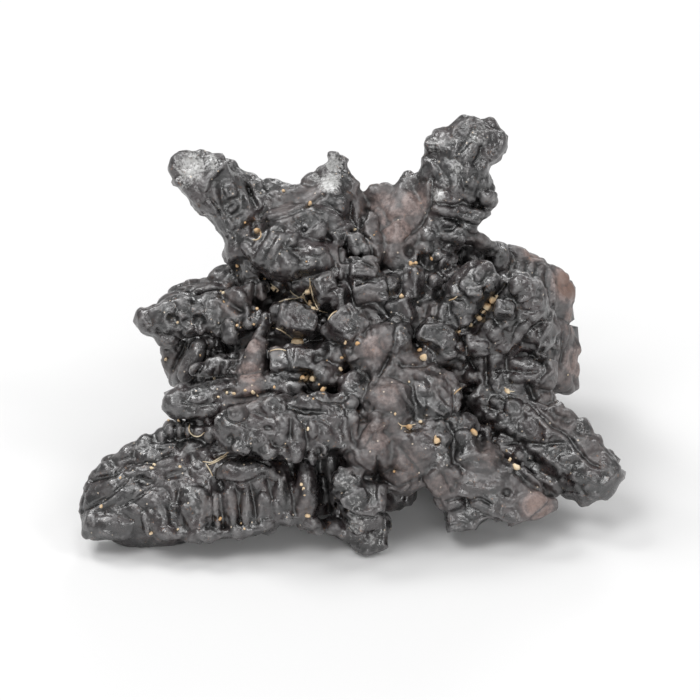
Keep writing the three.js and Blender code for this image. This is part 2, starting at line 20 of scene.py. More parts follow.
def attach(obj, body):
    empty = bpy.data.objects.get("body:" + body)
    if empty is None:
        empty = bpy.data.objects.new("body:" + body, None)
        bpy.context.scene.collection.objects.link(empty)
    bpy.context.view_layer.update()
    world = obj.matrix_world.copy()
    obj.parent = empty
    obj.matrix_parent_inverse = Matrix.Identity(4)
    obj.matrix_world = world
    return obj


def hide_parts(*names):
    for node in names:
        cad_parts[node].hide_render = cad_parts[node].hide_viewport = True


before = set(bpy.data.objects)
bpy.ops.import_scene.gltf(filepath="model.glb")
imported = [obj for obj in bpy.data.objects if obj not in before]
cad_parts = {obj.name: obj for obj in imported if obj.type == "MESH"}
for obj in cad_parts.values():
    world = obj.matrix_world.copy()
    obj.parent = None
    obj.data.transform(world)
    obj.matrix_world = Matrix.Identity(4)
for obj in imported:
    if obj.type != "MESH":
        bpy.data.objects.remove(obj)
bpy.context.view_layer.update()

log = logging.getLogger("prophecy_stone")

MM = 0.001
WELD = 1e-6
SHORTEST = 1e-9
CAMERA_DISTANCE = 600.0
PICTURE_WIDTH = 93.333
SENSOR_WIDTH = 36.0
DOME_POWER, FLAT_SLOPE = 0.6, 3.2
ROUND_CORNERS, BOXY_CORNERS = 2.0, 3.0
PATCH_CORE, PATCH_FALL = 1.5, 1.2
CELL_PRIMES = (73856093, 19349663, 83492791)
SEED_PRIME, STEP_PRIME, MIX_PRIME = 2654435761, 3266489917, 2246822519
WORD = 0xFFFFFFFF
SECOND_DRAW = 7
NOISE_SEED = 5

Place = tuple[float, float]
Triple = tuple[float, float, float]
Rows = tuple[tuple[float, ...], ...]
LineRows = tuple[tuple[float | Place, ...], ...]


def unit(ways: np.ndarray) -> np.ndarray:
    """Returns vectors, one a row, brought to a length of 1."""
    return ways / np.maximum(np.linalg.norm(ways, axis=1, keepdims=True), SHORTEST)


@dataclass(frozen=True)
class Face:
    """The leaning plane of the stone's face, as the viewer sees it.

    Places on the face are (x, u): millimetres to the right and up, in the plane through the heart of
    the stone, as they look from the viewer's eye. Depth is millimetres from that plane to the viewer.
    """

    origin: Triple = (-0.015, -0.586, 18.1)
    lean: float = math.radians(60)

    @property
    def axes(self) -> np.ndarray:
        """Rows: right, up the face and out of it, in the frame's axes."""
        turn, rise = math.cos(self.lean), math.sin(self.lean)
        return np.array([[1, 0, 0], [0, turn, rise], [0, -rise, turn]])

    def turned(self, points: np.ndarray) -> np.ndarray:
        """Returns points of the frame, in millimetres, as x, u and depth with no perspective."""
        return (points - np.array(self.origin)) @ self.axes.T

    def seen(self, points: np.ndarray) -> np.ndarray:
        """Returns the x and u at which the viewer sees points of the frame."""
        turned = self.turned(points)
        return turned[:, :2] * (CAMERA_DISTANCE / (CAMERA_DISTANCE - turned[:, 2:3]))

    def place(self, x: float, u: float, depth: float) -> np.ndarray:
        """Returns the point of the frame that is seen at (x, u) and lies at a depth."""
        nearness = (CAMERA_DISTANCE - depth) / CAMERA_DISTANCE
        return np.array(self.origin) + np.array([x * nearness, u * nearness, depth]) @ self.axes

    def eye(self) -> np.ndarray:
        """Returns where the viewer's eye is, in the frame."""
        return np.array(self.origin) + self.axes[2] * CAMERA_DISTANCE

    def ways_from(self, points: np.ndarray) -> np.ndarray:
        """Returns the direction from each point of the frame to the viewer's eye."""
        return unit(self.eye() - points)

    def way_to(self, x: float, u: float) -> np.ndarray:
        """Returns the direction from the eye to a place on the face."""
        target = np.array(self.origin) + np.array([x, u, 0.0]) @ self.axes
        way = target - self.eye()
        return way / np.linalg.norm(way)


FACE = Face()


class Profile(Enum):
    """How a carved mark falls off from its middle to its edge."""

    DOME = "dome"
    SOFT = "soft"
    SHARP = "sharp"
    FLAT = "flat"

    def height(self, reach: np.ndarray) -> np.ndarray:
        """Returns the height, 1 in the middle and 0 from the edge on, at each share of the reach."""
        inside = np.clip(1.0 - reach**2, 0.0, 1.0)
        if self is Profile.DOME:
            return inside**DOME_POWER
        if self is Profile.SOFT:
            return inside**2
        if self is Profile.FLAT:
            return np.clip((1.0 - reach) * FLAT_SLOPE, 0.0, 1.0)
        return np.clip(1.0 - reach, 0.0, 1.0)


@dataclass(frozen=True)
class Stroke:
    """A ridge (height above 0) or a groove (below 0) along a line of places on the face."""

    line: tuple[Place, ...]
    width: float
    height: float
    profile: Profile

    def reach(self, seen: np.ndarray) -> np.ndarray:
        """Returns each place's distance from the line, as a share of half the width."""
        nearest = np.full(len(seen), np.inf)
        for start, end in zip(self.line[:-1], self.line[1:]):
            first, way = np.array(start), np.subtract(end, start)
            along = np.clip((seen - first) @ way / max(way @ way, SHORTEST), 0, 1)
            nearest = np.minimum(nearest, np.linalg.norm(seen - first - along[:, None] * way, axis=1))
        return nearest / (self.width / 2)

    def near(self, seen: np.ndarray) -> np.ndarray:
        """Returns the numbers of the places that the stroke may reach."""
        low, high = np.min(self.line, axis=0) - self.width / 2, np.max(self.line, axis=0) + self.width / 2
        return np.flatnonzero(np.all((seen > low) & (seen < high), axis=1))

    def lift(self, seen: np.ndarray) -> np.ndarray:
        """Returns how much the stroke raises each place, in millimetres."""
        return self.height * self.profile.height(self.reach(seen))


@dataclass(frozen=True)
class Knob:
    """A lump at a place on the face.

    size is its length and width, and turn is the angle of its length from the x axis, in degrees.
    lean is how much its top rises per millimetre to the right and up.
    """

    at: Place
    size: Place
    height: float
    turn: float
    lean: Place
    profile: Profile

    def reach(self, seen: np.ndarray) -> np.ndarray:
        """Returns each place's distance from the middle, as a share of the lump's own radius."""
        angle = math.radians(self.turn)
        along = (seen - np.array(self.at)) @ np.array([math.cos(angle), math.sin(angle)])
        across = (seen - np.array(self.at)) @ np.array([-math.sin(angle), math.cos(angle)])
        power = BOXY_CORNERS if self.profile is Profile.FLAT else ROUND_CORNERS
        long, wide = np.abs(along) / (self.size[0] / 2), np.abs(across) / (self.size[1] / 2)
        return (long**power + wide**power) ** (1 / power)

    def near(self, seen: np.ndarray) -> np.ndarray:
        """Returns the numbers of the places that the lump may reach."""
        return np.flatnonzero(np.all(np.abs(seen - np.array(self.at)) < max(self.size) / 2, axis=1))

    def lift(self, seen: np.ndarray) -> np.ndarray:
        """Returns how much the lump raises each place, in millimetres."""
        top = self.height + (seen - np.array(self.at)) @ np.array(self.lean)
        return top * self.profile.height(self.reach(seen))


@dataclass(frozen=True)
class Lump:
    """A rounded crystal added to the solid: its place and depth, its size along, across and deep."""

    at: Place
    depth: float
    size: Triple
    turn: float


@dataclass(frozen=True)
class Box(Lump):
    """A lump that is a flat-faced box, tipped about the lines across and up the face, in degrees."""

    tip: Place


@dataclass(frozen=True)
class Pull:
    """A soft pull of the stone across the face, within a radius."""

    at: Place
    radius: float
    move: Place


@dataclass(frozen=True)
class Patch:
    """A soft-edged area of the face: its place, its radius and how strong it is there."""

    at: Place
    radius: float
    strength: float = 1.0


Marks = tuple[Stroke | Knob, ...]


def knobs(profile: Profile, rows: Rows) -> Marks:
    """Makes the lumps of one profile.

    Args:
        profile: how they fall off.
        rows: x, u, length, width, height and, where they aren't 0, the turn and then the two leans.

    Returns:
        One knob for each row.
    """
    made = []
    for x, u, length, width, height, *rest in rows:
        turn, right, up = (*rest, 0.0, 0.0, 0.0)[:3]
        made.append(Knob((x, u), (length, width), height, turn, (right, up), profile))
    return tuple(made)


def strokes(profile: Profile, rows: LineRows) -> Marks:
    """Returns the ridges and grooves of one profile, from rows of width, height and places."""
    return tuple(Stroke(tuple(line), width, height, profile) for width, height, *line in rows)


def carved(domes: Rows = (), flats: Rows = (), soft: LineRows = (), sharp: LineRows = (),
           rolls: LineRows = ()) -> Marks:
    """Gathers the marks of one part of the face.

    Args:
        domes: round-topped lumps and pits, as rows for knobs().
        flats: flat-topped lumps and pits, as rows for knobs().
        soft: soft ridges and grooves, as rows for strokes().
        sharp: sharp ridges, as rows for strokes().
        rolls: round-topped ridges, as rows for strokes().

    Returns:
        The marks, of which the order has no effect.
    """
    return (
        knobs(Profile.DOME, domes) + knobs(Profile.FLAT, flats) + strokes(Profile.SOFT, soft)
        + strokes(Profile.SHARP, sharp) + strokes(Profile.DOME, rolls)
    )


def lumps(rows: Rows) -> tuple[Lump, ...]:
    """Makes the crystals that are added to the solid.

    Args:
        rows: x, u, depth, three sizes and, where it isn't 0, the turn. Two tips after it make it a box.

    Returns:
        One lump or box for each row, in their order.
    """
    made = []
    for x, u, depth, along, across, deep, *rest in rows:
        turn, *tip = rest or (0.0,)
        stance = ((x, u), depth, (along, across, deep), turn)
        made.append(Box(*stance, tuple(tip)) if tip else Lump(*stance))
    return tuple(made)


def patches(rows: Rows) -> tuple[Patch, ...]:
    """Returns patches from rows of x, u, radius and, where it isn't 1, the strength."""
    return tuple(Patch((x, u), *rest) for x, u, *rest in rows)


LUMPS = lumps((
    (-20.9, 25.2, 4, 4.4, 2.8, 3), (-22.2, 24.4, 4.4, 3.4, 4, 3.6), (-18.2, 25.1, 3.4, 3.4, 2.6, 3, -20),
    (-22.9, 6.6, 1, 5, 2.2, 3, 12), (14.6, 29.8, 2.8, 4.4, 2.2, 3, 8), (16.4, 29.9, 3, 3.6, 2.6, 3),
    (13.4, 29.1, 2.6, 5.2, 3.4, 3.2, 36), (18, 29.5, 2.4, 4.4, 3.2, 3.4, -35), (16, 27.6, 2.4, 6, 6, 3.4),
    (18.2, 20, 1.6, 2.4, 2.6, 3.2), (-26.9, -22.4, 12.8, 1.2, 5, 3.4), (-22.9, -22, 12.2, 1.8, 6, 4),
    (-17.6, -21.6, 13.2, 1, 6, 3), (-15.6, -21.4, 13.2, 1, 5, 3.2), (-14, -21.2, 12.7, 1.2, 5.6, 3.6),
    (-12.1, -21, 12.8, 1.2, 5.6, 3.6), (-10, -20.4, 12.8, 1.2, 5.6, 3.6),
    (-7.8, -19.8, 12.2, 1.4, 5.6, 3.6), (-6.6, -20, 12.8, 1.2, 5, 3.2), (-24, -24.2, 12.7, 5, 1.8, 3.6),
    (-19.4, -24.6, 12.8, 6, 1.8, 3.6, 4), (-15.2, -24.2, 12.6, 4.6, 1.8, 3.6, 10),
    (-11.6, -23.6, 12.5, 4.6, 1.7, 3.6, 12), (-8.2, -22.4, 12.1, 3.6, 1.5, 3.4, 10),
    (-5.2, -23, 11.4, 4.4, 2.2, 4.2, -20), (-2.6, -23.6, 10.2, 3.8, 2, 3.8, -22),
    (-1, -24.2, 9.4, 3.6, 2.4, 3.8, -38), (-24.4, 1.5, 2.5, 3, 1.8, 5), (-3, 23.4, 1.4, 3.2, 3.6, 2.6, 30),
    (-4.8, 22.6, 1.2, 3.4, 1.8, 2.6, 20), (4.2, 20.9, 1, 4.6, 2.6, 2.4), (4, 16.6, 1.6, 3.4, 4.4, 4.4),
    (5.6, 1.2, 10.9, 4.4, 5.4, 4.4, 20), (0.9, 0.4, 10.5, 3.6, 4.4, 4.4), (2.7, -2.4, 10.9, 4.6, 3.2, 4.4),
    (25.8, -6.4, 5.4, 2.8, 2.6, 3.4), (28.1, -8.2, 7, 3.2, 1.8, 3, -42), (30.4, -10.1, 7, 3.4, 2, 3, -42),
    (32.1, -11.9, 7, 3.4, 2, 3, -42), (33.4, -13.8, 7, 3.2, 1.8, 3, -42),
    (7.7, 22.3, 1.4, 3.4, 2.6, 2.4, 35), (17.5, 14.8, 0.5, 2.6, 2.4, 4), (18.9, 13.6, -1.5, 2.6, 1.8, 4),
    (-25.2, -11.6, 9.2, 1.8, 2.2, 3.6), (-24, -10.8, 9.4, 1.5, 2.6, 3.6),
    (-22.8, -10.6, 9.5, 1.4, 2.6, 3.6), (-21.6, -10.6, 9.6, 1.5, 2.8, 3.6), (-20.2, -10.6, 10, 2, 2.8, 3.6),
    (-18.8, -10.6, 10.8, 1.8, 3.2, 4.2), (-34.2, -17.4, 8.6, 3.6, 1.6, 3.6, 42),
    (-32.1, -15.3, 8.8, 3.8, 1.8, 3.6, 42), (-29.5, -13.6, 9.4, 4, 1.8, 3.6, 20),
    (-27.1, -12.4, 9.4, 3.6, 1.8, 3.6, 32), (-1.6, -19.2, 6, 3, 3.6, 3), (6.2, -0.6, 10.2, 3.4, 5.4, 4.4),
    (5.2, -2.8, 10.8, 3.6, 2.6, 4.4), (7.2, -3.6, 11, 3, 3, 4.4), (1.2, -2.2, 10.4, 2.6, 2.6, 4.4),
    (12.4, -0.6, 8.2, 5.2, 2.8, 4.4), (-1.8, -0.8, 8.6, 4.4, 4.4, 4.4), (-1.2, 10.6, 7, 3.2, 3.2, 4.4),
    (3, 13.6, 3.8, 3.4, 4.4, 4.4), (15.8, -22, 9.4, 6.8, 3.8, 4.4, 12),
    (20.6, -12.9, 6.2, 4.6, 3.4, 4.4, -40), (22.9, -14.6, 6.6, 4.6, 3.4, 4.4, -40),
    (25.2, -16.4, 6.6, 4.6, 3.4, 4.4, -40), (26.8, -18, 6.6, 3.4, 2.4, 4.4, -40),
    (17.4, -11.6, 8, 3, 3.4, 4), (24.3, -5.6, 5.4, 2.6, 2.2, 4), (28.9, -8.5, 7.4, 2, 1.4, 2.6, -35),
    (-23.2, -6, 10.6, 3, 2, 3.6, 30), (-2.4, 25.3, 1.6, 2.6, 2.6, 2.4),
    (-0.6, 3.1, 10.9, 3.9, 3.9, 3.9, 40, -22, 18), (-7, 4, 8.9, 5, 3.6, 3.6, -12, -20, 12),
    (1.7, 10.4, 9.2, 3.4, 2.3, 3, -5, -26, 0), (2.6, 8, 9, 4.4, 2.7, 3.2, 12, 18, 6),
    (-3.6, 8.4, 9.7, 2.8, 2.2, 3, 20, -22, 16), (-1.2, 6.9, 8.8, 1.7, 2.9, 3, 0, 0, -18),
    (8.5, 9, 7.2, 1.9, 4.2, 3, 0, 0, -22), (7, 5.3, 8.3, 2.9, 3.1, 3, 20, 12, -16),
    (-0.4, -17.6, 14.9, 3.5, 2.9, 3, -20, -30, 12), (0.4, -19.9, 15.7, 3.6, 3, 3, 30, 18, 22),
    (-9, -1.5, 9.9, 3, 3.2, 3, 10, -22, -14), (-6.4, -1.4, 10.5, 2.7, 3, 3, -8, -16, 16),
    (11.2, 1.8, 9.7, 3.9, 3.1, 3.2, -32, -16, 14), (12.4, 1.4, 9.8, 3.6, 3, 3.2, -12),
    (-1.5, 15.5, 5.3, 3, 2, 3, 58, -16, 20), (16.6, 7.6, 10.6, 2.3, 1.8, 2.4, 0, -30, 0),
    (20.6, 5.3, 11.4, 2.6, 1.8, 2.4, 0, -30, 0), (16.9, 0.7, 8.9, 2.6, 2, 2.6, 0, -28, 0),
    (15.9, -21.9, 9.8, 6.2, 3.9, 4, 6, -6, 5), (18.8, 27.4, 2, 3.8, 5.4, 3.6, -8),
    (15.6, 30.2, 2.4, 5, 2.4, 3, 4),
))

PULLS = tuple(Pull((x, u), radius, tuple(move)) for x, u, radius, *move in (
    (-22, 24.4, 4, -0.8, 0.3), (-22.6, 19.8, 3.4, 0.7, 0.3), (-19.4, 16.6, 3.6, 1.4, 0.6),
    (-17.2, 11.2, 2.2, -0.4, 0), (-17.8, 14.4, 2.2, 0.8, 0), (-12.6, 24.3, 2.4, 0, -0.9),
    (-11, 23, 2, 0, -0.5), (-3.9, 25.6, 1.4, 0.5, -0.4), (-14.6, 26, 3, -0.7, -1.1), (-9, 21.8, 3, 0, 0.7),
    (-19.5, 10.2, 3, 0, -0.6), (-26.6, 7.2, 2.4, 0, -1), (1, 24, 2, -0.7, 0), (12.6, 31, 2.4, 0, -1.1),
    (10.9, 30, 1.6, 0.5, -0.2), (17.4, 31.8, 2.4, 0, -0.7), (17.8, 30, 3.6, 0.3, 0.1),
    (19.3, 23.4, 1.6, -0.6, 0), (-17.4, 26.6, 1.6, 0, -0.7), (10.2, 26.6, 2.2, -0.8, 0),
    (19.9, 24.2, 2, -0.8, 0), (18.7, 16.4, 2.6, -1.5, -0.2), (31.2, 5.6, 2.6, -0.9, 0.3),
    (31.4, 2, 2.2, -0.9, 0), (31.4, -1.2, 3.4, -0.9, 0), (31.4, -4.4, 2.2, -0.8, 0),
    (-24.6, -7.4, 2.4, -0.6, 0), (-34.6, -24.4, 3, -0.9, -0.9), (18.4, -23.8, 2, 0, 1.2),
    (32.4, -20.8, 1.8, -0.2, 0.6), (35, -15.8, 3.6, 0.7, 0.1),
))

UPPER_LEFT_ARM = carved(
    domes=(
        (-14.4, 17.3, 2.4, 1.7, 0.4, 60), (-22.6, 23.2, 1.5, 0.9, -0.3, 30), (-20.6, 23.4, 1.2, 1, -0.25),
        (-15, 11, 1.8, 3, -0.7),
    ),
    flats=(
        (-15.8, 20.7, 4, 7.4, -0.55, 12), (-15.9, 21.3, 1.9, 2.4, 0.4, 20, 0.2, -0.1),
        (-15.6, 18.9, 1.7, 1, 0.5, 40, 0, -0.5), (-15.9, 16.7, 1.8, 1.4, 0.3, -40),
        (-18.5, 18.9, 2.4, 1.5, 0.35, -50, 0.1, 0.1), (-17.3, 17, 2.2, 1.3, 0.35, -50),
        (-14.4, 13.1, 3, 2.6, 0.4, 30),
    ),
    soft=(
        (0.7, -0.35, (-19.4, 26.5), (-17.3, 25.8), (-16.2, 24.6)),
        (0.8, -0.5, (-13.7, 22.4), (-13.2, 20.8), (-12.5, 19.2)), (0.6, 0.3, (-16.7, 16.2), (-15.7, 14.9)),
        (0.6, -0.35, (-20.3, 21.6), (-18.6, 20.4), (-16.9, 17.9)),
        (0.6, -0.25, (-20, 26.4), (-19.6, 24.6), (-20.4, 22.4)), (1.2, -0.6, (-12.9, 17), (-12.9, 15.6)),
    ),
    sharp=(
        (1, 0.4, (-16.6, 25), (-18.9, 22.7), (-19.4, 20.9)),
        (0.9, 0.45, (-14.9, 23.4), (-13.6, 22.4), (-12.6, 20.6), (-11.9, 19.2)),
    ),
)

SADDLE = carved(
    domes=(
        (-10.3, 20.9, 1.4, 1.1, 0.4), (-9.2, 20.3, 1.2, 1, 0.35), (-10.9, 19.6, 0.9, 1.4, 0.4),
        (-6.9, 21.4, 2.6, 1, 0.35, 12),
    ),
    soft=(
        (2.4, -0.3, (-12.2, 18.1), (-8.5, 19.5), (-5, 21.3)),
        (0.9, -0.5, (-12.3, 17), (-8.5, 17.9), (-5.6, 19.2), (-3.6, 20.6)),
        (0.9, 0.4, (-0.8, 26), (-0.5, 24.2), (1, 21.8)),
        (0.8, 0.3, (-1.7, 26.2), (-3.2, 24.7), (-4.9, 23.2)),
    ),
)

HEART_TOP = carved(
    domes=(
        (-10, 10.7, 2.1, 1.8, 0.6), (-8, 11.6, 2.6, 2.4, 0.6), (-5.8, 11.3, 2.8, 1.7, 0.55, 10),
        (-12.3, 11.6, 2, 1.6, 0.45), (-5, 11.5, 1.1, 0.9, 0.7), (-7.6, 14.4, 1.3, 1.2, 0.6),
        (-6.1, 16.1, 0.9, 0.7, -0.7), (-6.9, 13.6, 1.8, 0.9, -0.5), (-5.4, 18, 3.8, 2.4, 0.5, -10),
        (-7.9, 15.9, 1.9, 1.5, 0.4), (-3.9, 16.2, 2.2, 1.8, 0.45), (-4.4, 13.6, 3.2, 2, 0.45, 20),
        (-2, 18.6, 4.4, 3.2, 0.6, 20), (1.2, 18, 1.7, 2.8, 0.45), (0.7, 14.9, 2.6, 2, 0.5),
        (-0.2, 13.2, 2, 1.4, 0.4),
    ),
    soft=(
        (0.7, -0.6, (0.2, 19.6), (0.1, 17.6), (0.6, 16.4)),
        (0.6, -0.6, (2.4, 18.6), (2, 17.4), (1.5, 16.5)),
        (0.6, -0.6, (-1.4, 13.6), (-1.1, 11.7), (1, 12), (3.2, 11.1)),
        (0.6, -0.4, (-2.6, 13.2), (-1.8, 11.4), (-1.6, 9.4)),
    ),
    rolls=(
        (1.3, 0.6, (-10.4, 12.7), (-9.8, 13.8), (-9.1, 15)),
        (1.1, 0.45, (-12.1, 12.4), (-11.3, 13.9), (-10.3, 15.4)), (1.1, 0.4, (-8.6, 14.8), (-8, 16.3)),
        (0.8, 0.3, (-12.9, 13.6), (-11.8, 15.4)),
    ),
)

CENTRE = carved(
    domes=(
        (4.6, 6.4, 2.6, 1.4, 0.35, -35), (2.9, 0.5, 6.6, 5, 0.6, 60), (7.4, 1.4, 2.4, 3.2, 0.45, 20),
        (8, -1.4, 2.6, 2, 0.4), (-1.6, -1.6, 2.2, 2, 0.35, 20), (8.9, 0.5, 1.4, 2.4, -0.7, 30),
    ),
    flats=(
        (-3, 6.6, 3, 2.4, 0.45, 10, 0, 0.35), (5.6, 9, 1.8, 2.4, 0.45, -20, 0.2, -0.2),
        (10.3, 5.2, 2.4, 2.8, 0.45), (12.4, 4.9, 1.3, 2.8, 0.55, -10, -0.2, 0),
        (0.5, -1, 1.2, 1.3, 0.6, 10, 0, -0.3),
    ),
    soft=(
        (0.5, -0.3, (0.6, 8.6), (2.4, 9.2), (4.2, 8.8)), (0.5, -0.25, (0.8, 7.4), (2, 8.1), (3.8, 7.9)),
        (0.5, -0.3, (-2.2, 2.4), (-0.8, 2.1), (1.3, 2.6)), (0.5, -0.3, (9.6, 0.9), (10.8, 1), (11.9, 0.2)),
        (0.5, 0.3, (1.4, -2.8), (1.9, 0), (2.3, 3.6)), (0.5, 0.3, (1.9, -2.8), (2.7, 0.2), (3.2, 4)),
        (0.5, 0.3, (2.4, -2.8), (3.6, 0.4), (4, 3.8)), (0.5, 0.3, (2.9, -2.8), (4.4, 0.4), (4.8, 3.2)),
        (0.5, 0.3, (3.4, -2.8), (5.1, 0.2), (5.6, 2.4)),
        (0.7, -0.45, (6.2, 3.6), (6, 0.8), (4.6, -2.2), (3.2, -4.6)),
        (0.7, -0.5, (-2.2, 0.9), (0.2, 0.4), (0.8, 1.2)),
    ),
    sharp=(
        (0.8, 0.35, (9.3, 1.9), (10, 3.2), (12.2, 3.4)),
    ),
)

LEFT_CRYSTALS = carved(
    domes=(
        (-3.7, 0.1, 1.8, 2, 0.45), (-4.5, -2.3, 1.6, 1.4, 0.4), (-3.4, -3.4, 1.5, 2, 0.4),
        (-9.3, 1.1, 3.6, 1.5, -0.7, -10), (-5.7, 6.7, 1.5, 2.2, -0.9, 20), (-5.6, -3.9, 2.8, 1.2, -0.35),
        (-2.6, -5.6, 1.6, 2.6, -0.5, 30), (-7.2, -5, 2.8, 1.4, 0.4, -30), (-9.6, -4, 2, 1, 0.3),
        (-4.4, -4.7, 1.4, 1.2, 0.35), (-11.4, 7, 2, 1.6, 0.4), (-9.8, 8.2, 2, 1.4, 0.45, -20),
        (-7.6, 8.5, 1.8, 1.4, 0.4, 20),
    ),
    soft=(
        (0.7, -0.5, (-10, 6.2), (-7.2, 6.9), (-4.6, 5.6), (-3.6, 3.4)),
        (1.2, -0.6, (-6.2, -5.2), (-3.2, -6.9), (-0.6, -6.6)),
    ),
    sharp=(
        (0.5, 0.35, (-8.9, 5.6), (-9.1, 4.5), (-8.3, 3.2)),
        (0.5, 0.3, (-8.1, 5.8), (-8.3, 4.7), (-7.5, 3.6)),
        (0.4, 0.4, (-8.3, 0), (-7.9, -1.6), (-7.3, -2.8)),
        (0.4, 0.3, (-9.8, -2.8), (-8.6, -3.2), (-7.9, -2.4), (-6.6, -2.7)),
    ),
)

LEFT_ARMS = carved(
    domes=(
        (-28.1, 4.3, 2.6, 2.8, 0.4), (-26, 5.4, 3.2, 1.8, 0.4, 10), (-24.3, 5.9, 2.8, 2.4, 0.45),
        (-22.2, 6.2, 2.4, 2.2, 0.45), (-26.6, 3, 2.4, 1.8, 0.4, -20), (-23.8, 2.6, 2.6, 1.6, 0.45),
        (-21.4, 2.4, 2.4, 1.6, 0.45, 60), (-19.8, 7.5, 2.4, 2.2, 0.45), (-19.8, 7.4, 1.2, 1.1, -0.2),
        (-18.1, 8.1, 2.2, 1.7, 0.4), (-20.4, 5.4, 2.2, 2, 0.4), (-23.6, 4.2, 1.8, 1.2, -0.6),
        (-20, 4.1, 1.9, 1.2, -0.6, -30), (-21.9, 3.9, 1.2, 0.8, -0.4), (-18.6, 3.4, 2.4, 2.4, 0.45),
        (-17.2, 8, 1.4, 1.4, 0.3), (-14.2, 7.1, 2.4, 2.6, 0.55), (-15.9, 4.1, 2.6, 2, 0.5),
        (-13.9, 3.2, 2.2, 1.6, 0.45, 30), (-16, 1.8, 2.2, 2.8, 0.55), (-18, 1.5, 3.2, 1.8, 0.5, 80),
        (-18.4, -1, 2.4, 2, 0.4), (-15.4, -0.4, 2, 1.2, 0.35, 30), (-13.1, -1.4, 9.8, 3.8, 0.5, 82),
    ),
    soft=(
        (0.7, -0.5, (-22.6, 8.6), (-20.4, 8.9), (-18.2, 9.4)), (1.6, 0.4, (-21.4, 9.4), (-18.5, 10.3)),
        (1.5, -0.7, (-17, 7.2), (-15.8, 6), (-14.4, 5.2)),
        (1.5, -0.8, (-12.6, 9), (-12.6, 6.6), (-13, 4.4)),
        (0.6, -0.5, (-17.2, 2.6), (-16.8, 0.4), (-16.2, -0.9)), (0.6, -0.6, (-21.7, 1.1), (-23.7, -2.6)),
        (0.6, -0.6, (-19, 0.2), (-19.6, -1.6), (-21, -4.4)),
        (0.9, 0.35, (-25.3, 0.8), (-24.6, -0.2), (-24.8, -2.6)), (0.6, 0.3, (-24, 0.6), (-22.9, -0.6)),
        (0.5, 0.3, (-12, 2.8), (-13.6, -1), (-14, -4.6)),
        (0.5, 0.3, (-11.6, 2.6), (-12.6, -1.2), (-13, -5)),
        (0.5, 0.3, (-11.5, 1.6), (-11.8, -1.6), (-12, -4.8)), (0.5, 0.3, (-10.9, -0.6), (-11, -3.4)),
        (0.7, -0.5, (-14.7, 0.6), (-15.4, -2.4), (-15.1, -4.6)),
        (0.7, -0.5, (-20.4, -4.2), (-18, -3.6), (-15.2, -3.4)),
    ),
    sharp=(
        (0.6, 0.5, (-19.6, -3), (-17, -1.4), (-14.8, -1.4)),
    ),
    rolls=(
        (2.7, 1, (-20.4, 0.3), (-22.4, -3.8)), (0.8, 0.4, (-18.5, -2), (-18.8, -3.1)),
        (0.8, 0.45, (-17.5, -1.8), (-17.8, -3.1)), (0.8, 0.45, (-16.4, -1.7), (-16.6, -3.1)),
        (0.8, 0.4, (-15.4, -1.8), (-15.5, -3)),
    ),
)

FINGER = carved(
    domes=(
        (-23.5, -7.6, 3.6, 3.8, 0.4), (-21.4, -8.7, 2.2, 1.6, 0.45), (-19.1, -8.4, 3, 2.1, 0.6, 10),
        (-22.6, -5.9, 2.6, 1.6, 0.35, 20), (-20, -5, 2.8, 1.6, 0.35, 20), (-20.3, -6.7, 2.6, 1.2, 0.35),
        (-17.6, -4.6, 2.4, 1.8, 0.4), (-18.2, -6.2, 2.2, 1.2, 0.35, -10), (-15.9, -5.6, 2, 1.2, -0.5, -10),
        (-15.6, -9.7, 3.6, 3, 0.35), (-12.6, -12.1, 2.6, 2, 0.45), (-12.6, -12.1, 0.9, 0.7, -0.45),
        (-15.9, -11.7, 1, 0.9, -0.4), (-10.9, -10.4, 1.6, 0.9, -0.6, -20),
        (-12.6, -9.6, 2.4, 1.7, 0.35, 10), (-9, -9.4, 2.2, 2.2, 0.4), (-6.9, -11.4, 1.7, 2.6, 0.5, 10),
        (-9.2, -11.8, 1.8, 1.8, 0.4), (-5, -10.8, 1.8, 2.4, 0.45), (-3.2, -11.2, 2, 2.4, 0.45),
        (-14.3, -11.5, 1.3, 1.6, 0.4, 30), (-6.6, -6.2, 2, 1.6, 0.4), (-3.9, -7.7, 2.2, 1.4, 0.4),
        (-1.9, -8.7, 1.6, 1.6, 0.35), (-15.1, -15.9, 6.6, 3.8, 0.5, 5), (-11.4, -15.7, 1.6, 1.4, 0.3),
    ),
    soft=(
        (0.6, -0.4, (-22.4, -7), (-19.8, -7.4), (-17, -7)),
        (0.9, -0.5, (-24.6, -9.2), (-20.8, -9.9), (-17.8, -9.9)),
        (1.4, -0.5, (-17.8, -6.4), (-14, -6.5), (-10.6, -5.7)),
        (0.6, -0.45, (-10.7, -11.5), (-10.3, -12.8), (-8.8, -13)), (0.6, -0.45, (-7.9, -9.4), (-8, -11.6)),
        (0.6, -0.45, (-5.9, -9.4), (-5.7, -12.6)), (2, 0.3, (-16.8, -13), (-12, -13.7), (-8.6, -14.3)),
        (1, -0.4, (-8.2, -7.6), (-6, -8.4), (-3.6, -8.2)),
        (0.7, -0.6, (-18.2, -14.4), (-14.8, -13.9), (-10.6, -15.4)),
        (0.7, -0.6, (-17.4, -17.5), (-14.2, -17.9), (-11.6, -16.8)),
        (0.5, 0.2, (-16.6, -16.4), (-15.6, -14.9)),
    ),
    sharp=(
        (0.6, 0.45, (-17.7, -7.2), (-17.8, -9.4)),
        (0.9, 0.55, (-17.9, -9.8), (-17.2, -8.2), (-14.6, -7.7), (-12.2, -7.1), (-10.2, -6.4), (-9, -6.7),
         (-8.8, -7.9)),
    ),
)

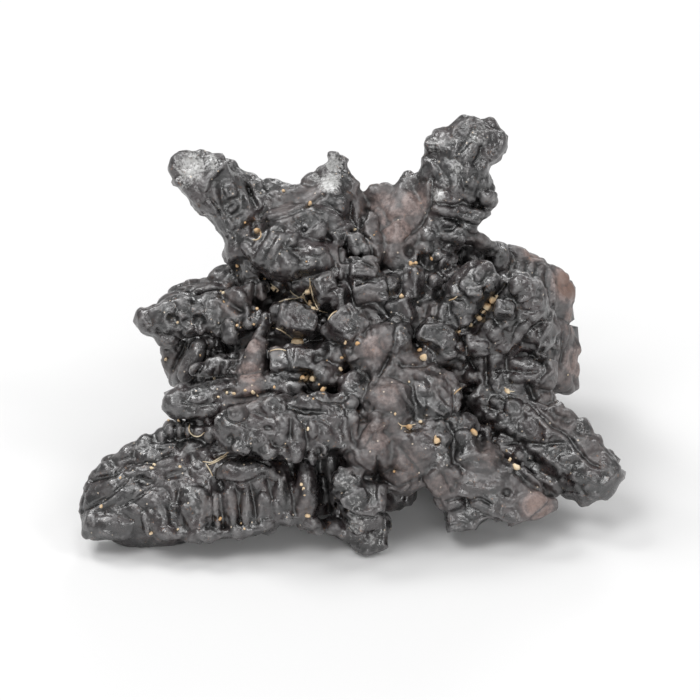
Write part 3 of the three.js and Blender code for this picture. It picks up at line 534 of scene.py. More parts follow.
GREAT_BLADE = carved(
    domes=(
        (-25, -11.5, 2.2, 1.4, 0.5, 75), (-23.8, -10.9, 2.6, 1.2, 0.55, 80),
        (-22.7, -10.7, 2.4, 1.1, 0.5, 85), (-21.6, -10.7, 2.2, 1.1, 0.45, 85),
        (-31.6, -17.9, 4.2, 1.7, 0.35, 18), (-27.6, -16, 3.4, 1.4, 0.35, 8),
        (-24.6, -14.9, 3, 1.4, 0.4, 15), (-29, -18.8, 2.6, 1.7, 0.35, 20), (-33.8, -18.6, 3, 1.6, 0.3, 25),
        (-27.6, -17.4, 3.6, 1.3, -0.45, -12), (-23.4, -16.6, 3.2, 1.4, -0.5, 10),
        (-20.6, -14.8, 2, 2.8, -0.5, 40), (-21.2, -12.5, 2, 1.6, 0.4), (-19.6, -13.8, 1.8, 1.6, 0.4),
        (-28.4, -22.2, 2.2, 2.8, 0.35, 20),
    ),
    flats=(
        (-33.2, -15.9, 3.2, 1.7, 0.35, 25), (-30.2, -14.4, 2.8, 1.9, 0.4, 15),
        (-27.4, -13.4, 3, 2.1, 0.4, 10), (-31.2, -23.6, 6, 3.4, 0.4, -5, 0, -0.12),
        (-34.7, -22.9, 2.2, 3.2, 0.35),
    ),
    soft=(
        (0.6, -0.4, (-35.6, -21.5), (-33.2, -20.2), (-31.4, -19.2), (-29.6, -17.4)),
        (0.8, -0.6, (-34.6, -17.4), (-31.6, -16.6), (-29.2, -15.1), (-26.2, -15), (-23.6, -13.8)),
        (0.8, 0.35, (-26.6, -12.6), (-25, -12.9), (-23.2, -12.6)),
        (0.7, -0.4, (-31, -20.9), (-28.4, -19.9), (-26.4, -18.4)),
        (0.5, 0.25, (-32.6, -23), (-31.2, -22.2), (-29.6, -22.6), (-29, -24)),
        (1.6, -0.35, (-17.4, -18), (-17.2, -21.6)),
        (0.8, -0.2, (-27.3, -20.2), (-27, -22.4), (-26.4, -24.4)),
        (0.9, -0.3, (-22.9, -19), (-23.2, -21.4), (-23, -24.2)),
        (0.6, -0.2, (-15.2, -18), (-14.8, -21), (-14.4, -23.4)),
        (0.6, -0.2, (-13.3, -17.8), (-12.7, -20.6), (-12.4, -23.2)),
        (0.7, -0.2, (-11, -17.2), (-10.4, -20), (-10.1, -22.4)),
        (0.9, -0.25, (-8.4, -16.4), (-7.6, -19.4), (-7.4, -21.8)),
        (2, -1.1, (-4.2, -13.6), (-3.7, -17), (-2.9, -21)),
    ),
    sharp=(
        (0.7, 0.4, (-35.8, -22.2), (-33.4, -20.9), (-31.8, -19.9), (-30.4, -18.6), (-28.8, -17)),
        (0.5, 0.2, (-26.5, -20.8), (-26.2, -23.4)), (0.5, 0.2, (-25.2, -20.4), (-24.9, -23.4)),
        (0.5, 0.2, (-22, -19.8), (-21.8, -22.4), (-20.7, -23.2), (-19.7, -22.2)),
        (0.8, 0.4, (-18.9, -17.4), (-18.7, -20.2), (-18.5, -23.8)),
    ),
    rolls=(
        (2.9, 0.4, (-25.3, -20.2), (-25.1, -24.4)), (3.4, 0.45, (-21, -18.6), (-20.8, -24)),
        (1.4, 0.3, (-16, -18.6), (-15.6, -21.2), (-15.4, -24)),
        (1.7, 0.4, (-14.4, -18.2), (-13.8, -21), (-13.4, -24)),
        (1.8, 0.4, (-12.2, -17.6), (-11.6, -20.4), (-11.2, -23.2)),
        (1.8, 0.4, (-9.8, -17.2), (-9.2, -20), (-8.8, -22.4)),
        (2.1, 0.4, (-6.4, -15.4), (-5.6, -19), (-5.2, -23)),
    ),
)

SPEAR = carved(
    domes=(
        (0.8, -23.7, 1.1, 1.5, -0.3), (2.9, -25.3, 1.5, 2.6, 0.35), (-1.2, -23.4, 1.4, 2, 0.3, 30),
    ),
    flats=(
        (4.2, -19.2, 1.5, 3.2, 0.4, 0, -0.3, 0), (0.8, -23.7, 2.4, 3, 0.35),
    ),
    soft=(
        (0.7, -0.7, (-2, -20.6), (0.6, -22.2), (3.4, -22.5), (5, -21)),
    ),
    sharp=(
        (0.7, 0.3, (4.6, -22.4), (4.4, -26)), (0.5, 0.3, (-2.6, -22.2), (-0.6, -20.8)),
    ),
)

SLOPE = carved(
    domes=(
        (9.3, -3.2, 2.2, 1.6, 0.4, 20), (11.4, -1.6, 2.2, 1.6, 0.35, -20), (12.4, -9.7, 1.7, 1.7, 0.45),
        (12.5, -9.7, 0.7, 0.8, -0.3), (12.9, -11.8, 2.2, 1.6, 0.5, 10), (10.7, -9.8, 2, 1.4, 0.3),
        (9.6, -13.6, 3, 2.2, 0.4, -10), (12.4, -14.8, 2.4, 1.8, 0.45, -30),
        (8.4, -10.4, 2.6, 1.2, -0.4, 10), (11.6, -12.2, 0.9, 1.4, -0.4), (17.6, -12.4, 1.8, 3.4, -0.9, 10),
    ),
    flats=(
        (6, -16.1, 4.8, 3.6, 0.5, 0, 0, 0.1), (4.8, -6.4, 4.6, 3.6, 0.35, 10), (15, -12, 3.4, 3, 0.45),
        (11.2, -17.4, 3.2, 3, 0.4, -40),
    ),
    soft=(
        (0.7, -0.45, (0.2, -10.4), (0.2, -11.8), (1, -12.6)), (0.6, -0.3, (1.2, -9.6), (2.6, -9.4)),
        (0.6, 0.3, (4.9, -12.3), (5.6, -11.6), (6.6, -11.7)),
        (0.6, -0.5, (3.7, -14.2), (3.8, -16.8), (6.2, -18.4), (8.2, -17.4)),
        (0.6, 0.3, (1, -14.6), (3, -16.2)), (0.6, 0.35, (11.6, -6.2), (12.4, -7.2), (13.4, -8)),
        (0.6, 0.3, (10.2, -3.6), (10.9, -4.8), (10.6, -6)),
        (0.6, 0.35, (12.2, -3.4), (12, -4.8), (12.8, -5.8)),
        (0.7, -0.5, (13.8, -5.4), (14, -7), (13.6, -8.8)),
        (0.6, -0.3, (6.6, -13), (9, -15.8), (10.2, -18.2)),
    ),
    sharp=(
        (0.6, 0.25, (-1.2, -13.6), (-0.4, -12.8), (0.6, -13.4), (1, -14.8)),
        (0.6, 0.35, (7, -5), (7.6, -6.4), (8.6, -7.6)), (0.6, 0.35, (8.7, -4.4), (8.9, -6.2), (9.8, -7.6)),
        (0.7, 0.4, (10.4, -7.4), (11.4, -8), (12.5, -8.7)),
        (0.6, 0.35, (9.6, -2.9), (10.8, -2.2), (12, -2.8)),
    ),
    rolls=(
        (0.9, 0.45, (-0.6, -9.3), (-0.8, -10.6), (-0.3, -11.9)),
        (1.2, 0.5, (1.5, -12.5), (2.4, -10.9), (3.7, -9.7)),
        (0.9, 0.4, (0.3, -9.5), (1.8, -8.4), (3.7, -8.8)),
    ),
)

SLAB = carved(
    domes=(
        (20.9, -19, 2.6, 2.3, 0.4), (20.9, -19, 1.6, 1.4, -0.7), (14, -16.3, 2, 2, 0.4),
        (12.6, -18.4, 2, 1.8, 0.35, 30),
    ),
    flats=(
        (17.6, -17, 7, 4.2, 0.4, -5), (24.6, -20.7, 5, 3.4, 0.3, 15),
    ),
    soft=(
        (0.6, -0.45, (12.3, -16.4), (13.5, -18.8)),
        (0.6, -0.6, (12.8, -20.2), (14.2, -19.7), (16.2, -20.2), (17.2, -19.7), (18.8, -20.6)),
        (0.5, 0.25, (21, -20.8), (22.6, -19.4), (24.2, -18.9)),
        (1.8, -0.8, (22.2, -16.2), (24.2, -18), (27, -19.3)),
    ),
    sharp=(
        (0.7, 0.3, (14.4, -14.7), (16.4, -13.9), (19, -14), (21.8, -15.4)),
    ),
)

RIGHT_BLADE = carved(
    domes=(
        (26, -12.2, 1.3, 0.9, 0.4), (17.6, -6.7, 1.4, 1.3, 0.45), (19.4, -6.8, 1.8, 1.5, 0.45),
        (17, -8.6, 1.6, 1.1, 0.45), (18.6, -8.8, 1.5, 1.3, 0.45), (19.9, -10.2, 1.8, 1.5, 0.5),
        (21.5, -10.7, 1.3, 1.3, 0.45), (22.8, -11.4, 1.6, 1.1, 0.4), (18.4, -10.5, 1.1, 1.4, 0.4),
        (20.2, -8.9, 1.2, 1.1, 0.35), (22.6, -14, 1.7, 1.8, 0.4, 30), (30.8, -18, 1.6, 0.7, -0.3, 30),
    ),
    flats=(
        (26.5, -11.1, 1.7, 1.3, 0.5, 30, 0, -0.5), (21.8, -7.6, 2.7, 2.5, 0.4), (24, -8.2, 1.7, 1.6, 0.35),
        (23.6, -10.3, 2.8, 2.2, 0.3), (24.8, -13.9, 3, 2.2, 0.35), (26.9, -15.6, 3.2, 2.4, 0.3, -20),
        (31.4, -16.8, 4.6, 3.4, 0.35, -20),
    ),
    soft=(
        (0.6, -0.6, (24, -7.1), (25.4, -8.8), (27, -10.2), (28.6, -11), (29.6, -12), (30.6, -13.5),
         (32.2, -15.2), (33.4, -15.6)),
        (0.6, -0.45, (20.4, -12.5), (22.6, -12.4), (25.4, -12.6), (29.2, -12.3)),
        (0.5, -0.4, (18, -7.6), (20.4, -8.2), (20.6, -6.2)),
        (0.5, -0.35, (28.4, -17.3), (30.4, -17.8), (31.4, -19.6)),
        (0.5, 0.25, (28.6, -19), (30.6, -19.3), (32.6, -19.9)),
    ),
    sharp=(
        (0.6, 0.4, (23.6, -7.5), (25, -9.3), (26.6, -10.7), (28.2, -11.6), (29.2, -12.5), (30.2, -14),
         (31.9, -15.7), (33.2, -16.1)), (0.6, 0.35, (23.4, -9.4), (25.2, -9), (26.4, -9.9)),
    ),
    rolls=(
        (1, 0.45, (28.3, -14.5), (29.4, -14.2), (30.4, -13.9)), (0.7, 0.2, (26.8, -7.4), (26.2, -8.6)),
        (0.7, 0.2, (28.4, -8.5), (27.4, -9.9)), (0.9, 0.25, (30, -9.9), (29, -11.1)),
        (0.7, 0.2, (31.3, -11.2), (30.2, -12.2)), (0.9, 0.25, (32.5, -12.5), (31.3, -13.6)),
        (0.7, 0.2, (33.8, -13.9), (32.9, -14.9)),
    ),
)

LOBES = carved(
    domes=(
        (18.5, 11.8, 2.8, 2.6, 0.5), (20.2, 11.2, 1.6, 1.6, 0.35), (14.6, 5.5, 2.4, 2.2, 0.5),
        (16.4, 5.9, 2.8, 1.7, 0.4, 60), (22.7, 11, 1.8, 1.5, 0.55, 80), (24.2, 11, 1.9, 1.3, 0.55, 80),
        (25.5, 10.7, 1.7, 1.2, 0.45, 60), (22.6, 9.2, 2.8, 1.9, 0.4), (21.4, 7.9, 1.8, 1.4, 0.35),
        (18.4, 3.4, 1.6, 1.3, 0.45, 40), (14.7, 0.6, 2, 1.8, 0.4), (23.2, 3, 1.6, 2.2, 0.35, 40),
        (24.8, 4.4, 2.2, 1.3, 0.35, 20), (24.6, 1.8, 1.6, 2.2, 0.35, 30), (22, 1.4, 1.6, 2, 0.35),
    ),
    flats=(
        (17.4, 10.4, 2.8, 1.6, 0.45, 70), (19.5, 8.8, 3.4, 1.8, 0.35, 25, 0, 0.3),
        (14.4, 8, 2.4, 2, 0.5, 20, -0.1, -0.2), (15.4, 4, 2.4, 1.7, 0.5, 10, 0, -0.3),
        (25, 9, 1.5, 1.7, 0.45, 0, -0.2, -0.2), (23.1, 6.9, 2, 0.9, 0.6, 20, 0, -0.5),
        (24.5, 7.5, 1.4, 0.9, 0.5, 20, 0, -0.3), (17.5, -1, 3.2, 2.6, 0.5, 0, 0, 0.25),
    ),
    soft=(
        (0.5, -0.4, (13.1, 6.8), (14.6, 6.8), (15.6, 7)),
        (1.1, -0.8, (14.6, 2.5), (16.3, 3.4), (17.4, 4.5), (18.6, 6.2), (19.4, 7.2), (20.6, 8.6)),
        (0.6, -0.5, (15.2, 1.6), (15.6, -0.8), (16.8, -2.6)),
        (0.6, -0.35, (26, 10), (26.5, 8), (26.6, 5.8), (26, 3.8)),
        (0.6, -0.5, (21.4, 1), (22, 3.2), (23.6, 4.2)), (0.6, -0.5, (23, 0.8), (24, 2.8), (25.6, 3.8)),
        (0.6, -0.45, (22.2, 5.4), (24.4, 5), (26.4, 5.5)),
    ),
    sharp=(
        (0.7, 0.5, (16.2, 8.2), (17.8, 8.6), (19.2, 9.8), (20.8, 10.5)),
        (0.7, 0.6, (23.5, 12.1), (25.7, 11.8), (26.8, 10.4), (27.2, 8), (27.4, 5.8), (26.8, 3.6),
         (25.7, 1.8), (25.2, 0.2)),
    ),
    rolls=(
        (1, 0.5, (18.9, 2.1), (20.8, 3.5)),
    ),
)

SHORT_FINGER = carved(
    domes=(
        (19.6, -4, 2, 1.5, 0.5), (22.2, -3.8, 1.8, 1.2, 0.45, -20), (24.3, -3.7, 2, 1.4, 0.45),
        (13.8, -0.4, 2.6, 1.9, 0.4), (13.6, -2.6, 3.2, 2.2, 0.4, -20), (16.4, -3.6, 2.4, 1.8, 0.35),
        (21.8, -5.2, 3.2, 1, 0.4, -8), (29, -5, 3, 1.8, 0.35), (27.6, 5, 2.6, 3.6, -0.5, -35),
    ),
    flats=(
        (19.6, -1.7, 2.4, 1.8, 0.4), (22.9, -1.7, 4.2, 1.9, 0.35, -5), (30.4, -1.4, 2.2, 4.6, 0.35),
    ),
    soft=(
        (0.5, -0.4, (24.2, -0.7), (25.9, -1.9), (26.1, -3), (24.9, -3.9)),
        (1.1, -0.8, (18.2, -0.8), (18.2, -4.6)), (0.7, -0.45, (20.9, -0.7), (20.9, -3.2)),
        (0.5, -0.45, (19.2, -2.8), (21.6, -2.7), (23.4, -3.1), (25, -2.8)),
        (1, -0.7, (14.6, -4.6), (16.6, -4.8)), (0.5, 0.4, (13.8, -5.6), (14.4, -5), (15.2, -5)),
        (1.4, -0.8, (23.8, -4.8), (24.6, -6.4)), (0.6, -0.4, (28.4, 2.4), (28, -1.4)),
    ),
    sharp=(
        (0.7, 0.5, (24.9, -0.3), (26.5, -1.5), (26.9, -3), (25.6, -4.2)),
        (0.8, 0.45, (29.4, 3.2), (28.8, 0.5), (28.4, -2.6)), (0.7, 0.35, (28, 1.4), (27.6, -1.6)),
    ),
)

UPPER_RIGHT_ARM = carved(
    domes=(
        (16.7, 29.4, 1.7, 1.7, 0.4), (16.7, 29.4, 0.8, 0.8, -0.4), (19.3, 25.7, 2.2, 1.7, 0.4),
        (17.6, 24.2, 1.8, 2.2, 0.35), (15.8, 24, 2.2, 2.4, 0.35, 30), (13.9, 24.6, 2.2, 1.5, 0.4, 10),
        (12.4, 22.2, 2, 1.6, 0.4, 50), (12.1, 20.3, 2.2, 1.7, 0.45, 40), (14.2, 21.4, 1.8, 2, 0.35),
        (16.4, 22.2, 2.8, 1.7, 0.55, 75), (18.1, 20.4, 2.1, 2, 0.6), (16, 20.5, 2.2, 1.9, 0.5),
        (17.9, 22.2, 1.6, 1.5, 0.4), (17.3, 15.2, 2.4, 2.6, 0.4),
    ),
    flats=(
        (15.4, 29.4, 2.6, 1.8, 0.45, 60, 0.2, -0.2), (17.9, 28.4, 2.8, 1.9, 0.5, 50, 0.1, -0.2),
        (19.2, 27.7, 3.4, 4, 0.45, 0, 0.2, 0.1),
    ),
    soft=(
        (0.6, -0.4, (17.2, 31), (18.8, 30), (20, 29.2)),
        (0.7, -0.45, (17.6, 27.6), (17.4, 26), (16.4, 24.6)), (0.6, 0.4, (18.1, 26.3), (19, 25.2)),
        (0.6, 0.4, (19.2, 26.7), (19.9, 25.6)), (0.6, -0.35, (11.4, 24.9), (12.6, 23.6), (13.2, 22)),
        (0.6, 0.35, (11.2, 22.4), (12.4, 21.6)), (0.6, -0.4, (14.8, 19.6), (16.4, 19.2), (17.8, 19.4)),
        (0.6, -0.6, (12.2, 17.9), (15, 17.3), (17, 16.6)),
        (0.7, -0.5, (11.2, 19.6), (13.6, 19.2), (15.2, 19.6)),
        (0.8, -0.5, (11, 22.8), (10.9, 19.4), (9.6, 16.8), (7.4, 14.6)),
    ),
    sharp=(
        (0.8, 0.4, (13.7, 28.8), (14.2, 29.8), (15.4, 30.6), (16.8, 31), (18, 30.1), (19.4, 29.2)),
    ),
    rolls=(
        (1.5, 0.55, (15, 25.5), (16.4, 27)), (1, 0.4, (13.7, 26), (14.6, 27.9)),
        (1.5, 0.6, (15, 18.8), (17, 18.1), (18.6, 18.2)), (1.4, 0.55, (11.6, 18.8), (14.2, 18), (16.6, 17)),
        (1.5, 0.6, (12.8, 17), (14.6, 16.4), (16.4, 15.9)),
    ),
)

DARK_HOLLOW = carved(
    domes=(
        (12.1, 12.4, 2.4, 1.8, 0.6), (9.9, 13.5, 2.2, 1.6, 0.45, -20), (13.8, 10, 1.9, 1.9, 0.5),
        (15.6, 12.2, 2.6, 1.9, 0.5, 30), (11.2, 9.4, 2.8, 1.6, 0.5, 80), (14, 13.9, 2.6, 1.5, 0.45),
        (13, 15.2, 3.2, 1.4, 0.5), (10.3, 15.2, 2.2, 1.7, 0.45, 30), (16.9, 13.6, 1.8, 1.5, 0.45),
        (19, 14.6, 1.8, 1.6, 0.4), (8.4, 14.9, 1.2, 2, 0.35, -30), (9.4, 11.6, 1.3, 2.2, -0.7),
        (12.8, 10.8, 1.7, 1.2, -0.7), (11.8, 7.4, 1.6, 2.2, -0.8), (14.2, 11.5, 1.4, 1, -0.6, 30),
        (8, 13.2, 1.6, 1.8, -0.8),
    ),
)

CARVING = (
    UPPER_LEFT_ARM + SADDLE + HEART_TOP + CENTRE + LEFT_CRYSTALS + LEFT_ARMS + FINGER + GREAT_BLADE + SPEAR
    + SLOPE + SLAB + RIGHT_BLADE + LOBES + SHORT_FINGER + UPPER_RIGHT_ARM + DARK_HOLLOW
)

SMOOTH_PATCHES = patches((
    (-9, 19.3, 2.4), (-5.6, 20.8, 2.2), (4, 20, 3.4), (6.4, 16.8, 3.8), (8.6, 19.4, 3.2),
    (-13.2, -1.6, 3.4), (-13, -5, 2.4), (2.9, 0.5, 3.4, 0.5), (5, -6.4, 3, 0.8), (6, -13.4, 4.2, 0.8),
    (17.6, -17, 5), (24.6, -20.6, 3.4), (16, -22, 3.6, 0.8), (31.4, -17, 4.2), (26.8, -14.6, 3.4),
    (23.4, -9.6, 2.4, 0.7), (-31.4, -23.4, 4.6), (-15.1, -15.9, 3.6), (-13, -13.4, 3), (-23.6, -7.6, 2.4),
    (30.4, 5, 4), (30.4, -1.6, 3, 0.8), (-24.2, -1.4, 2.4, 0.7), (12.8, 27.2, 3), (16.4, 28.6, 3, 0.8),
    (13.4, 23.6, 2.6, 0.8), (1.6, -24.2, 3), (-21.6, 24.6, 2.6, 0.7), (23, -12.6, 3, 0.8),
    (-25.2, -22.2, 2.4, 0.8), (-21, -21.4, 2.4, 0.8), (3.4, -11, 3.6, 0.7), (9.4, -15.6, 3.4, 0.8),
    (24.2, 3.6, 3.2, 0.7), (23, -2, 3.4, 0.7), (11.6, 1.9, 2.6, 0.8), (-21.4, -1.8, 2.6),
    (19.2, 27.7, 2.6, 0.8), (2.6, 8.4, 2.8, 0.8), (-3.2, 7.4, 2), (-0.4, 3.2, 2.8), (0, -18.8, 3),
    (16.6, 7.4, 1.6), (20.6, 5.2, 1.6), (7.6, 7, 3, 0.7), (-7, 4.2, 2.8, 0.8), (-7.6, -1.4, 3, 0.7),
))

BROWN_PATCHES = patches((
    (-8.6, 19.2, 2.2, 0.8), (-5.4, 20.9, 2, 0.8), (4.4, 19.4, 3.6, 1.1), (6.2, 16.6, 4.2, 1.2),
    (8.6, 19.6, 3.2, 1.2), (4.4, 12.6, 2.2, 0.8), (1.6, 21, 2, 0.7), (-13, 0.6, 1.9, 1.2),
    (-13.4, -3, 2.6, 1.25), (-13, -5.8, 2.2, 1.2), (3, 0.4, 3.2, 1.1), (2.6, 6.6, 2, 0.6),
    (5, -5.8, 3.4, 1.04), (8.2, -2.2, 3, 0.7), (3.4, -11.6, 4, 1.06), (7.6, -15.6, 4), (12, -18, 3),
    (17.6, -16.6, 4.4, 0.35), (21.4, -19.4, 3, 0.4), (25, -20.8, 3.2, 1.4), (18.4, -14, 2.2),
    (29.6, 9, 4, 1.6), (31, 4, 3.4, 1.6), (24.6, 13.4, 2.6, 1.4), (30.6, -1.6, 3.6, 1.3),
    (28.6, -3.6, 2.6, 1), (-24.6, -1.6, 2.6, 0.9), (-16, 6, 2, 0.8), (-12.6, 7, 1.8, 0.8),
    (-15, -20.4, 1.8, 0.8), (-12.6, -20.6, 1.4, 0.5), (-18.6, -21, 1.8, 0.5), (-6.2, -20.8, 1.6, 0.8),
    (-14.4, -6.6, 2.4, 0.8), (-9.8, 0.8, 1.6, 0.9), (28.4, -9.4, 2.6, 0.9), (32.4, -13, 2.6, 0.7),
    (17.4, 15.2, 1.8, 0.8), (10.4, 5, 1.8, 0.6), (-20.2, 9.6, 2.2, 0.6), (26.4, -6.2, 2, 0.8),
    (-1.6, -2, 2.6, 0.5), (1, -14.6, 2.6, 0.8), (-2, 12.6, 1.8, 0.6), (12.6, -4, 3.2, 0.5),
    (-10.4, -18.8, 1.2, 0.5),
))

SCUFF_PATCHES = patches((
    (-21.2, 24.4, 2.8, 1.2), (-18.6, 25.2, 1.8, 1), (-21.8, 22.4, 1.6, 0.8), (-2.2, 24.8, 1.6, 1.3),
    (-2.6, 22.4, 2, 1.3), (-4.4, 23, 1.2, 0.9), (11.4, 27.4, 2.2, 0.8), (17.2, 28.8, 2.2, 0.8),
    (15.6, 26.4, 1.2, 0.7), (14.2, 24.4, 1.4, 1), (11.8, 20.6, 1.4, 1.1), (12.6, 22.4, 1.2, 0.8),
    (8, 22.4, 2.6, 0.6), (7.2, 18.6, 2, 0.4), (9.8, 18.4, 1.6, 0.5), (12.4, -14.6, 1.6, 0.8),
    (3, -10.2, 1.6, 0.5), (-1, -10.6, 1.4, 0.6), (9.8, -12.4, 1.8, 0.5), (-30, -17.8, 2.2, 0.5),
    (-30, -23, 2, 0.4), (-0.4, 3.6, 2.2, 0.5), (-7, 4.4, 2, 0.4), (10.6, 2.4, 1.6, 0.5),
    (2, 10.6, 1.4, 0.5), (-13.4, -1.8, 2, 0.4), (-12.8, -11.8, 1.8, 0.5), (0.8, -23.6, 2.6, 0.8),
    (3, -25, 1.8, 0.8), (-0.4, -17.6, 2, 0.8), (0.6, -20, 1.6, 0.7), (-25.4, -15.8, 1.6, 0.4),
    (18.4, 11.6, 1.6, 0.4), (-8, 15.4, 1.4, 0.4), (19, -10, 2, 0.4), (-5.8, 17.6, 2, 0.4),
))

GRAINS = (
    (-6.8, 1, 2), (-5.5, 7.9, 0.7), (-5.2, 6.2, 0.7), (-4.9, 5.5, 0.5), (-6.3, 7, 0.6), (-12.3, 15.7, 0.9),
    (-5.4, 19.5, 0.5), (-6.4, -3.8, 0.7), (-5.6, -3.8, 0.9), (-4.9, -3.7, 0.6), (-3.7, -5.4, 0.6),
    (-3.3, -5, 0.4), (-3.5, -5.9, 0.4), (8.1, 11.4, 0.8), (8.7, 11.4, 0.5), (9, 10.1, 0.4),
    (10.8, 12.3, 0.6), (7, 7.1, 0.7), (9.7, -1, 1), (9.3, -0.1, 0.6), (-0.6, 1.1, 0.4), (1.1, 0.8, 0.6),
    (18.1, 6, 1.2), (18.9, 6.7, 1.2), (19.3, 7.3, 0.6), (17.9, 5.1, 0.5), (17.1, 4.4, 0.8),
    (16.2, 3.3, 0.6), (14.6, 2.4, 0.5), (-1.3, -2.6, 0.4), (-1.2, -1, 0.4), (-3.1, -1.4, 0.3),
    (11.7, -12, 0.8), (11.4, -11.5, 0.5), (16.4, -11.1, 0.8), (21.2, -14.7, 0.5), (22.1, -15.8, 1),
    (20.9, -13.4, 0.4), (20.9, -5.4, 0.7), (9.5, -9.7, 0.5), (7.8, -10.3, 0.6), (7.9, -4.2, 0.3),
    (-10.2, 8.3, 0.6), (-9.6, 8, 0.5), (-11.5, 9.6, 0.3), (-15, 10.6, 0.3), (-15, 9.9, 0.3),
    (-15, 11.3, 0.3), (-16.9, 6.4, 0.4), (-16.3, 5.8, 0.3), (-12.3, 5.4, 0.3), (-12.9, 3.4, 0.3),
    (-15.2, 3.3, 0.4), (-14.6, 3, 0.3), (-17.3, 7.8, 0.5), (-16.8, 7.5, 0.4), (-22.9, 3.7, 0.4),
    (-24.6, -1.2, 0.3), (-20, -0.7, 0.3), (-6.3, -17.9, 0.5), (-6.2, -18.5, 0.4), (-6.1, -19.4, 0.3),
    (-5.6, -22, 0.6), (-17.5, -22.4, 0.5), (-26.4, -15.7, 0.4), (-26.1, -15.3, 0.4), (-22.6, -15.5, 0.4),
    (-33.2, -20.8, 0.4), (-30.6, -17, 0.4), (-26.6, -24.3, 0.3), (-23, -23.9, 0.3), (-24.2, -9.4, 0.3),
    (-22.8, -9.3, 0.4), (-5.6, -10.5, 0.4), (-14, -23.8, 0.4), (-14.6, -23.2, 0.3), (-8.6, -12.4, 0.3),
    (6, -8.6, 0.4), (6, -16.2, 0.3), (-13, -5.6, 0.5), (-12.4, -6.1, 0.4), (-13.9, -5.4, 0.3),
    (-15.4, -5.9, 0.5), (-16.4, -5.8, 0.3), (-17.6, -6.2, 0.3), (-18, -3.9, 0.4), (-4.9, -6.5, 0.3),
    (-4.2, -4.7, 0.3), (-10.1, -4.9, 0.3), (29, -3.4, 0.3), (-14, 17, 0.3), (-8.8, 21.2, 0.3),
    (0.6, 16, 0.5), (3.2, 15.3, 0.4), (-5.8, 11.8, 0.3),
)

THREADS = (
    ((-10.4, 3), (-9.4, 2.8), (-8.6, 2.3), (-7.9, 1.7), (-7.2, 1.2)),
    ((-10.8, -0.2), (-10, 0.1), (-9.2, 0.1), (-8.5, -0.1)),
    ((-5.4, 9.6), (-5.2, 8.6), (-5.5, 7.8), (-6.4, 7.6), (-6.2, 6.8), (-5.5, 6), (-4.4, 5.3), (-3, 5)),
    ((-5.2, 8.6), (-5, 7.4), (-4.6, 6.2), (-4.2, 5.4)),
    ((-9.4, 6.4), (-8.2, 6.8), (-6.8, 6.9), (-5.9, 7.4)), ((-2.9, 4), (-2.4, 4.8), (-1.7, 5.2)),
    ((-13, 14.7), (-12.4, 14.6), (-11.8, 15.1), (-11.9, 15.8)), ((-10.6, 8.9), (-10, 8.4), (-9.5, 8)),
    ((-8, 8), (-7.6, 7.4), (-6.9, 7.1)), ((6.4, -9.7), (6.9, -10.2), (7.8, -10.1), (8.7, -9.9)),
    ((6.9, -10.2), (6.8, -10.6)), ((7.4, -10.2), (8, -10.7)),
    ((-19.6, -14.9), (-18.4, -15.1), (-17.2, -14.3), (-16.2, -13.6)),
    ((-18.9, -15.3), (-17.6, -14.9), (-16.4, -14)), ((-19.2, -15.2), (-18.7, -16), (-18.3, -16.8)),
    ((-21.4, -9.9), (-21.6, -10.8), (-21, -11.4), (-20.1, -11.6), (-19.4, -11)),
    ((13.9, -5.9), (14.4, -5.3), (14.9, -5)), ((20.6, -5), (21.1, -5.5), (21.9, -5.5)),
    ((13.2, 6.6), (13.8, 6.8), (14.3, 7.2)),
)


@dataclass(frozen=True)
class ScaleLayer:
    """One layer of the facets and lumps that cover the crystals.

    size is how wide they are, height how much they bulge, gap how wide the grooves between them are,
    depth how deep the grooves are, tilt how much the facets lean and step how much they stand out.
    margin and spread say where in its cell a facet's middle may lie, stretch how long the facets are
    and fall how fast their bulge falls off.
    """

    size: float
    height: float
    gap: float
    depth: float
    tilt: float
    step: float
    seed: int
    margin: float = 0.15
    spread: float = 0.7
    stretch: float = 0.55
    fall: float = 1.5

    def lift(self, points: np.ndarray) -> np.ndarray:
        """Finds how much the layer raises each point, from the nearest of the facets' middles.

        Args:
            points: places in the frame, in millimetres.

        Returns:
            The rise at each point, in millimetres.
        """
        base = np.floor(points / self.size)
        best = np.full(len(points), np.inf)
        second = np.full(len(points), np.inf)
        offset = np.zeros_like(points)
        nature = np.zeros((len(points), 6))
        steps = (-1, 0, 1)
        for step in ((i, j, k) for i in steps for j in steps for k in steps):
            cell = base + np.array(step)
            draw = hashed(cell, self.seed)
            other = hashed(cell, self.seed + SECOND_DRAW)
            axis = unit(other * 2 - 1)
            away = points - (cell + self.margin + self.spread * draw) * self.size
            along = np.einsum("ij,ij->i", away, axis)
            distance = np.sqrt(np.maximum(np.einsum("ij,ij->i", away, away) - self.stretch * along**2, 0.0))
            nearer = distance < best
            second = np.where(nearer, best, np.minimum(second, distance))
            best[nearer] = distance[nearer]
            offset[nearer] = away[nearer]
            nature[nearer, :3] = draw[nearer]
            nature[nearer, 3:] = other[nearer]
        edge = np.clip((second - best) / self.gap, 0, 1)
        edge = edge * edge * (3 - 2 * edge)
        bulge = self.height * (1.0 - self.fall * (best / self.size) ** 2)
        lean = self.tilt * np.einsum("ij,ij->i", offset, nature[:, :3] * 2 - 1)
        stand = self.step * (nature[:, 4] * 2 - 1)
        return edge * (bulge + lean + stand) - (1 - edge) * self.depth


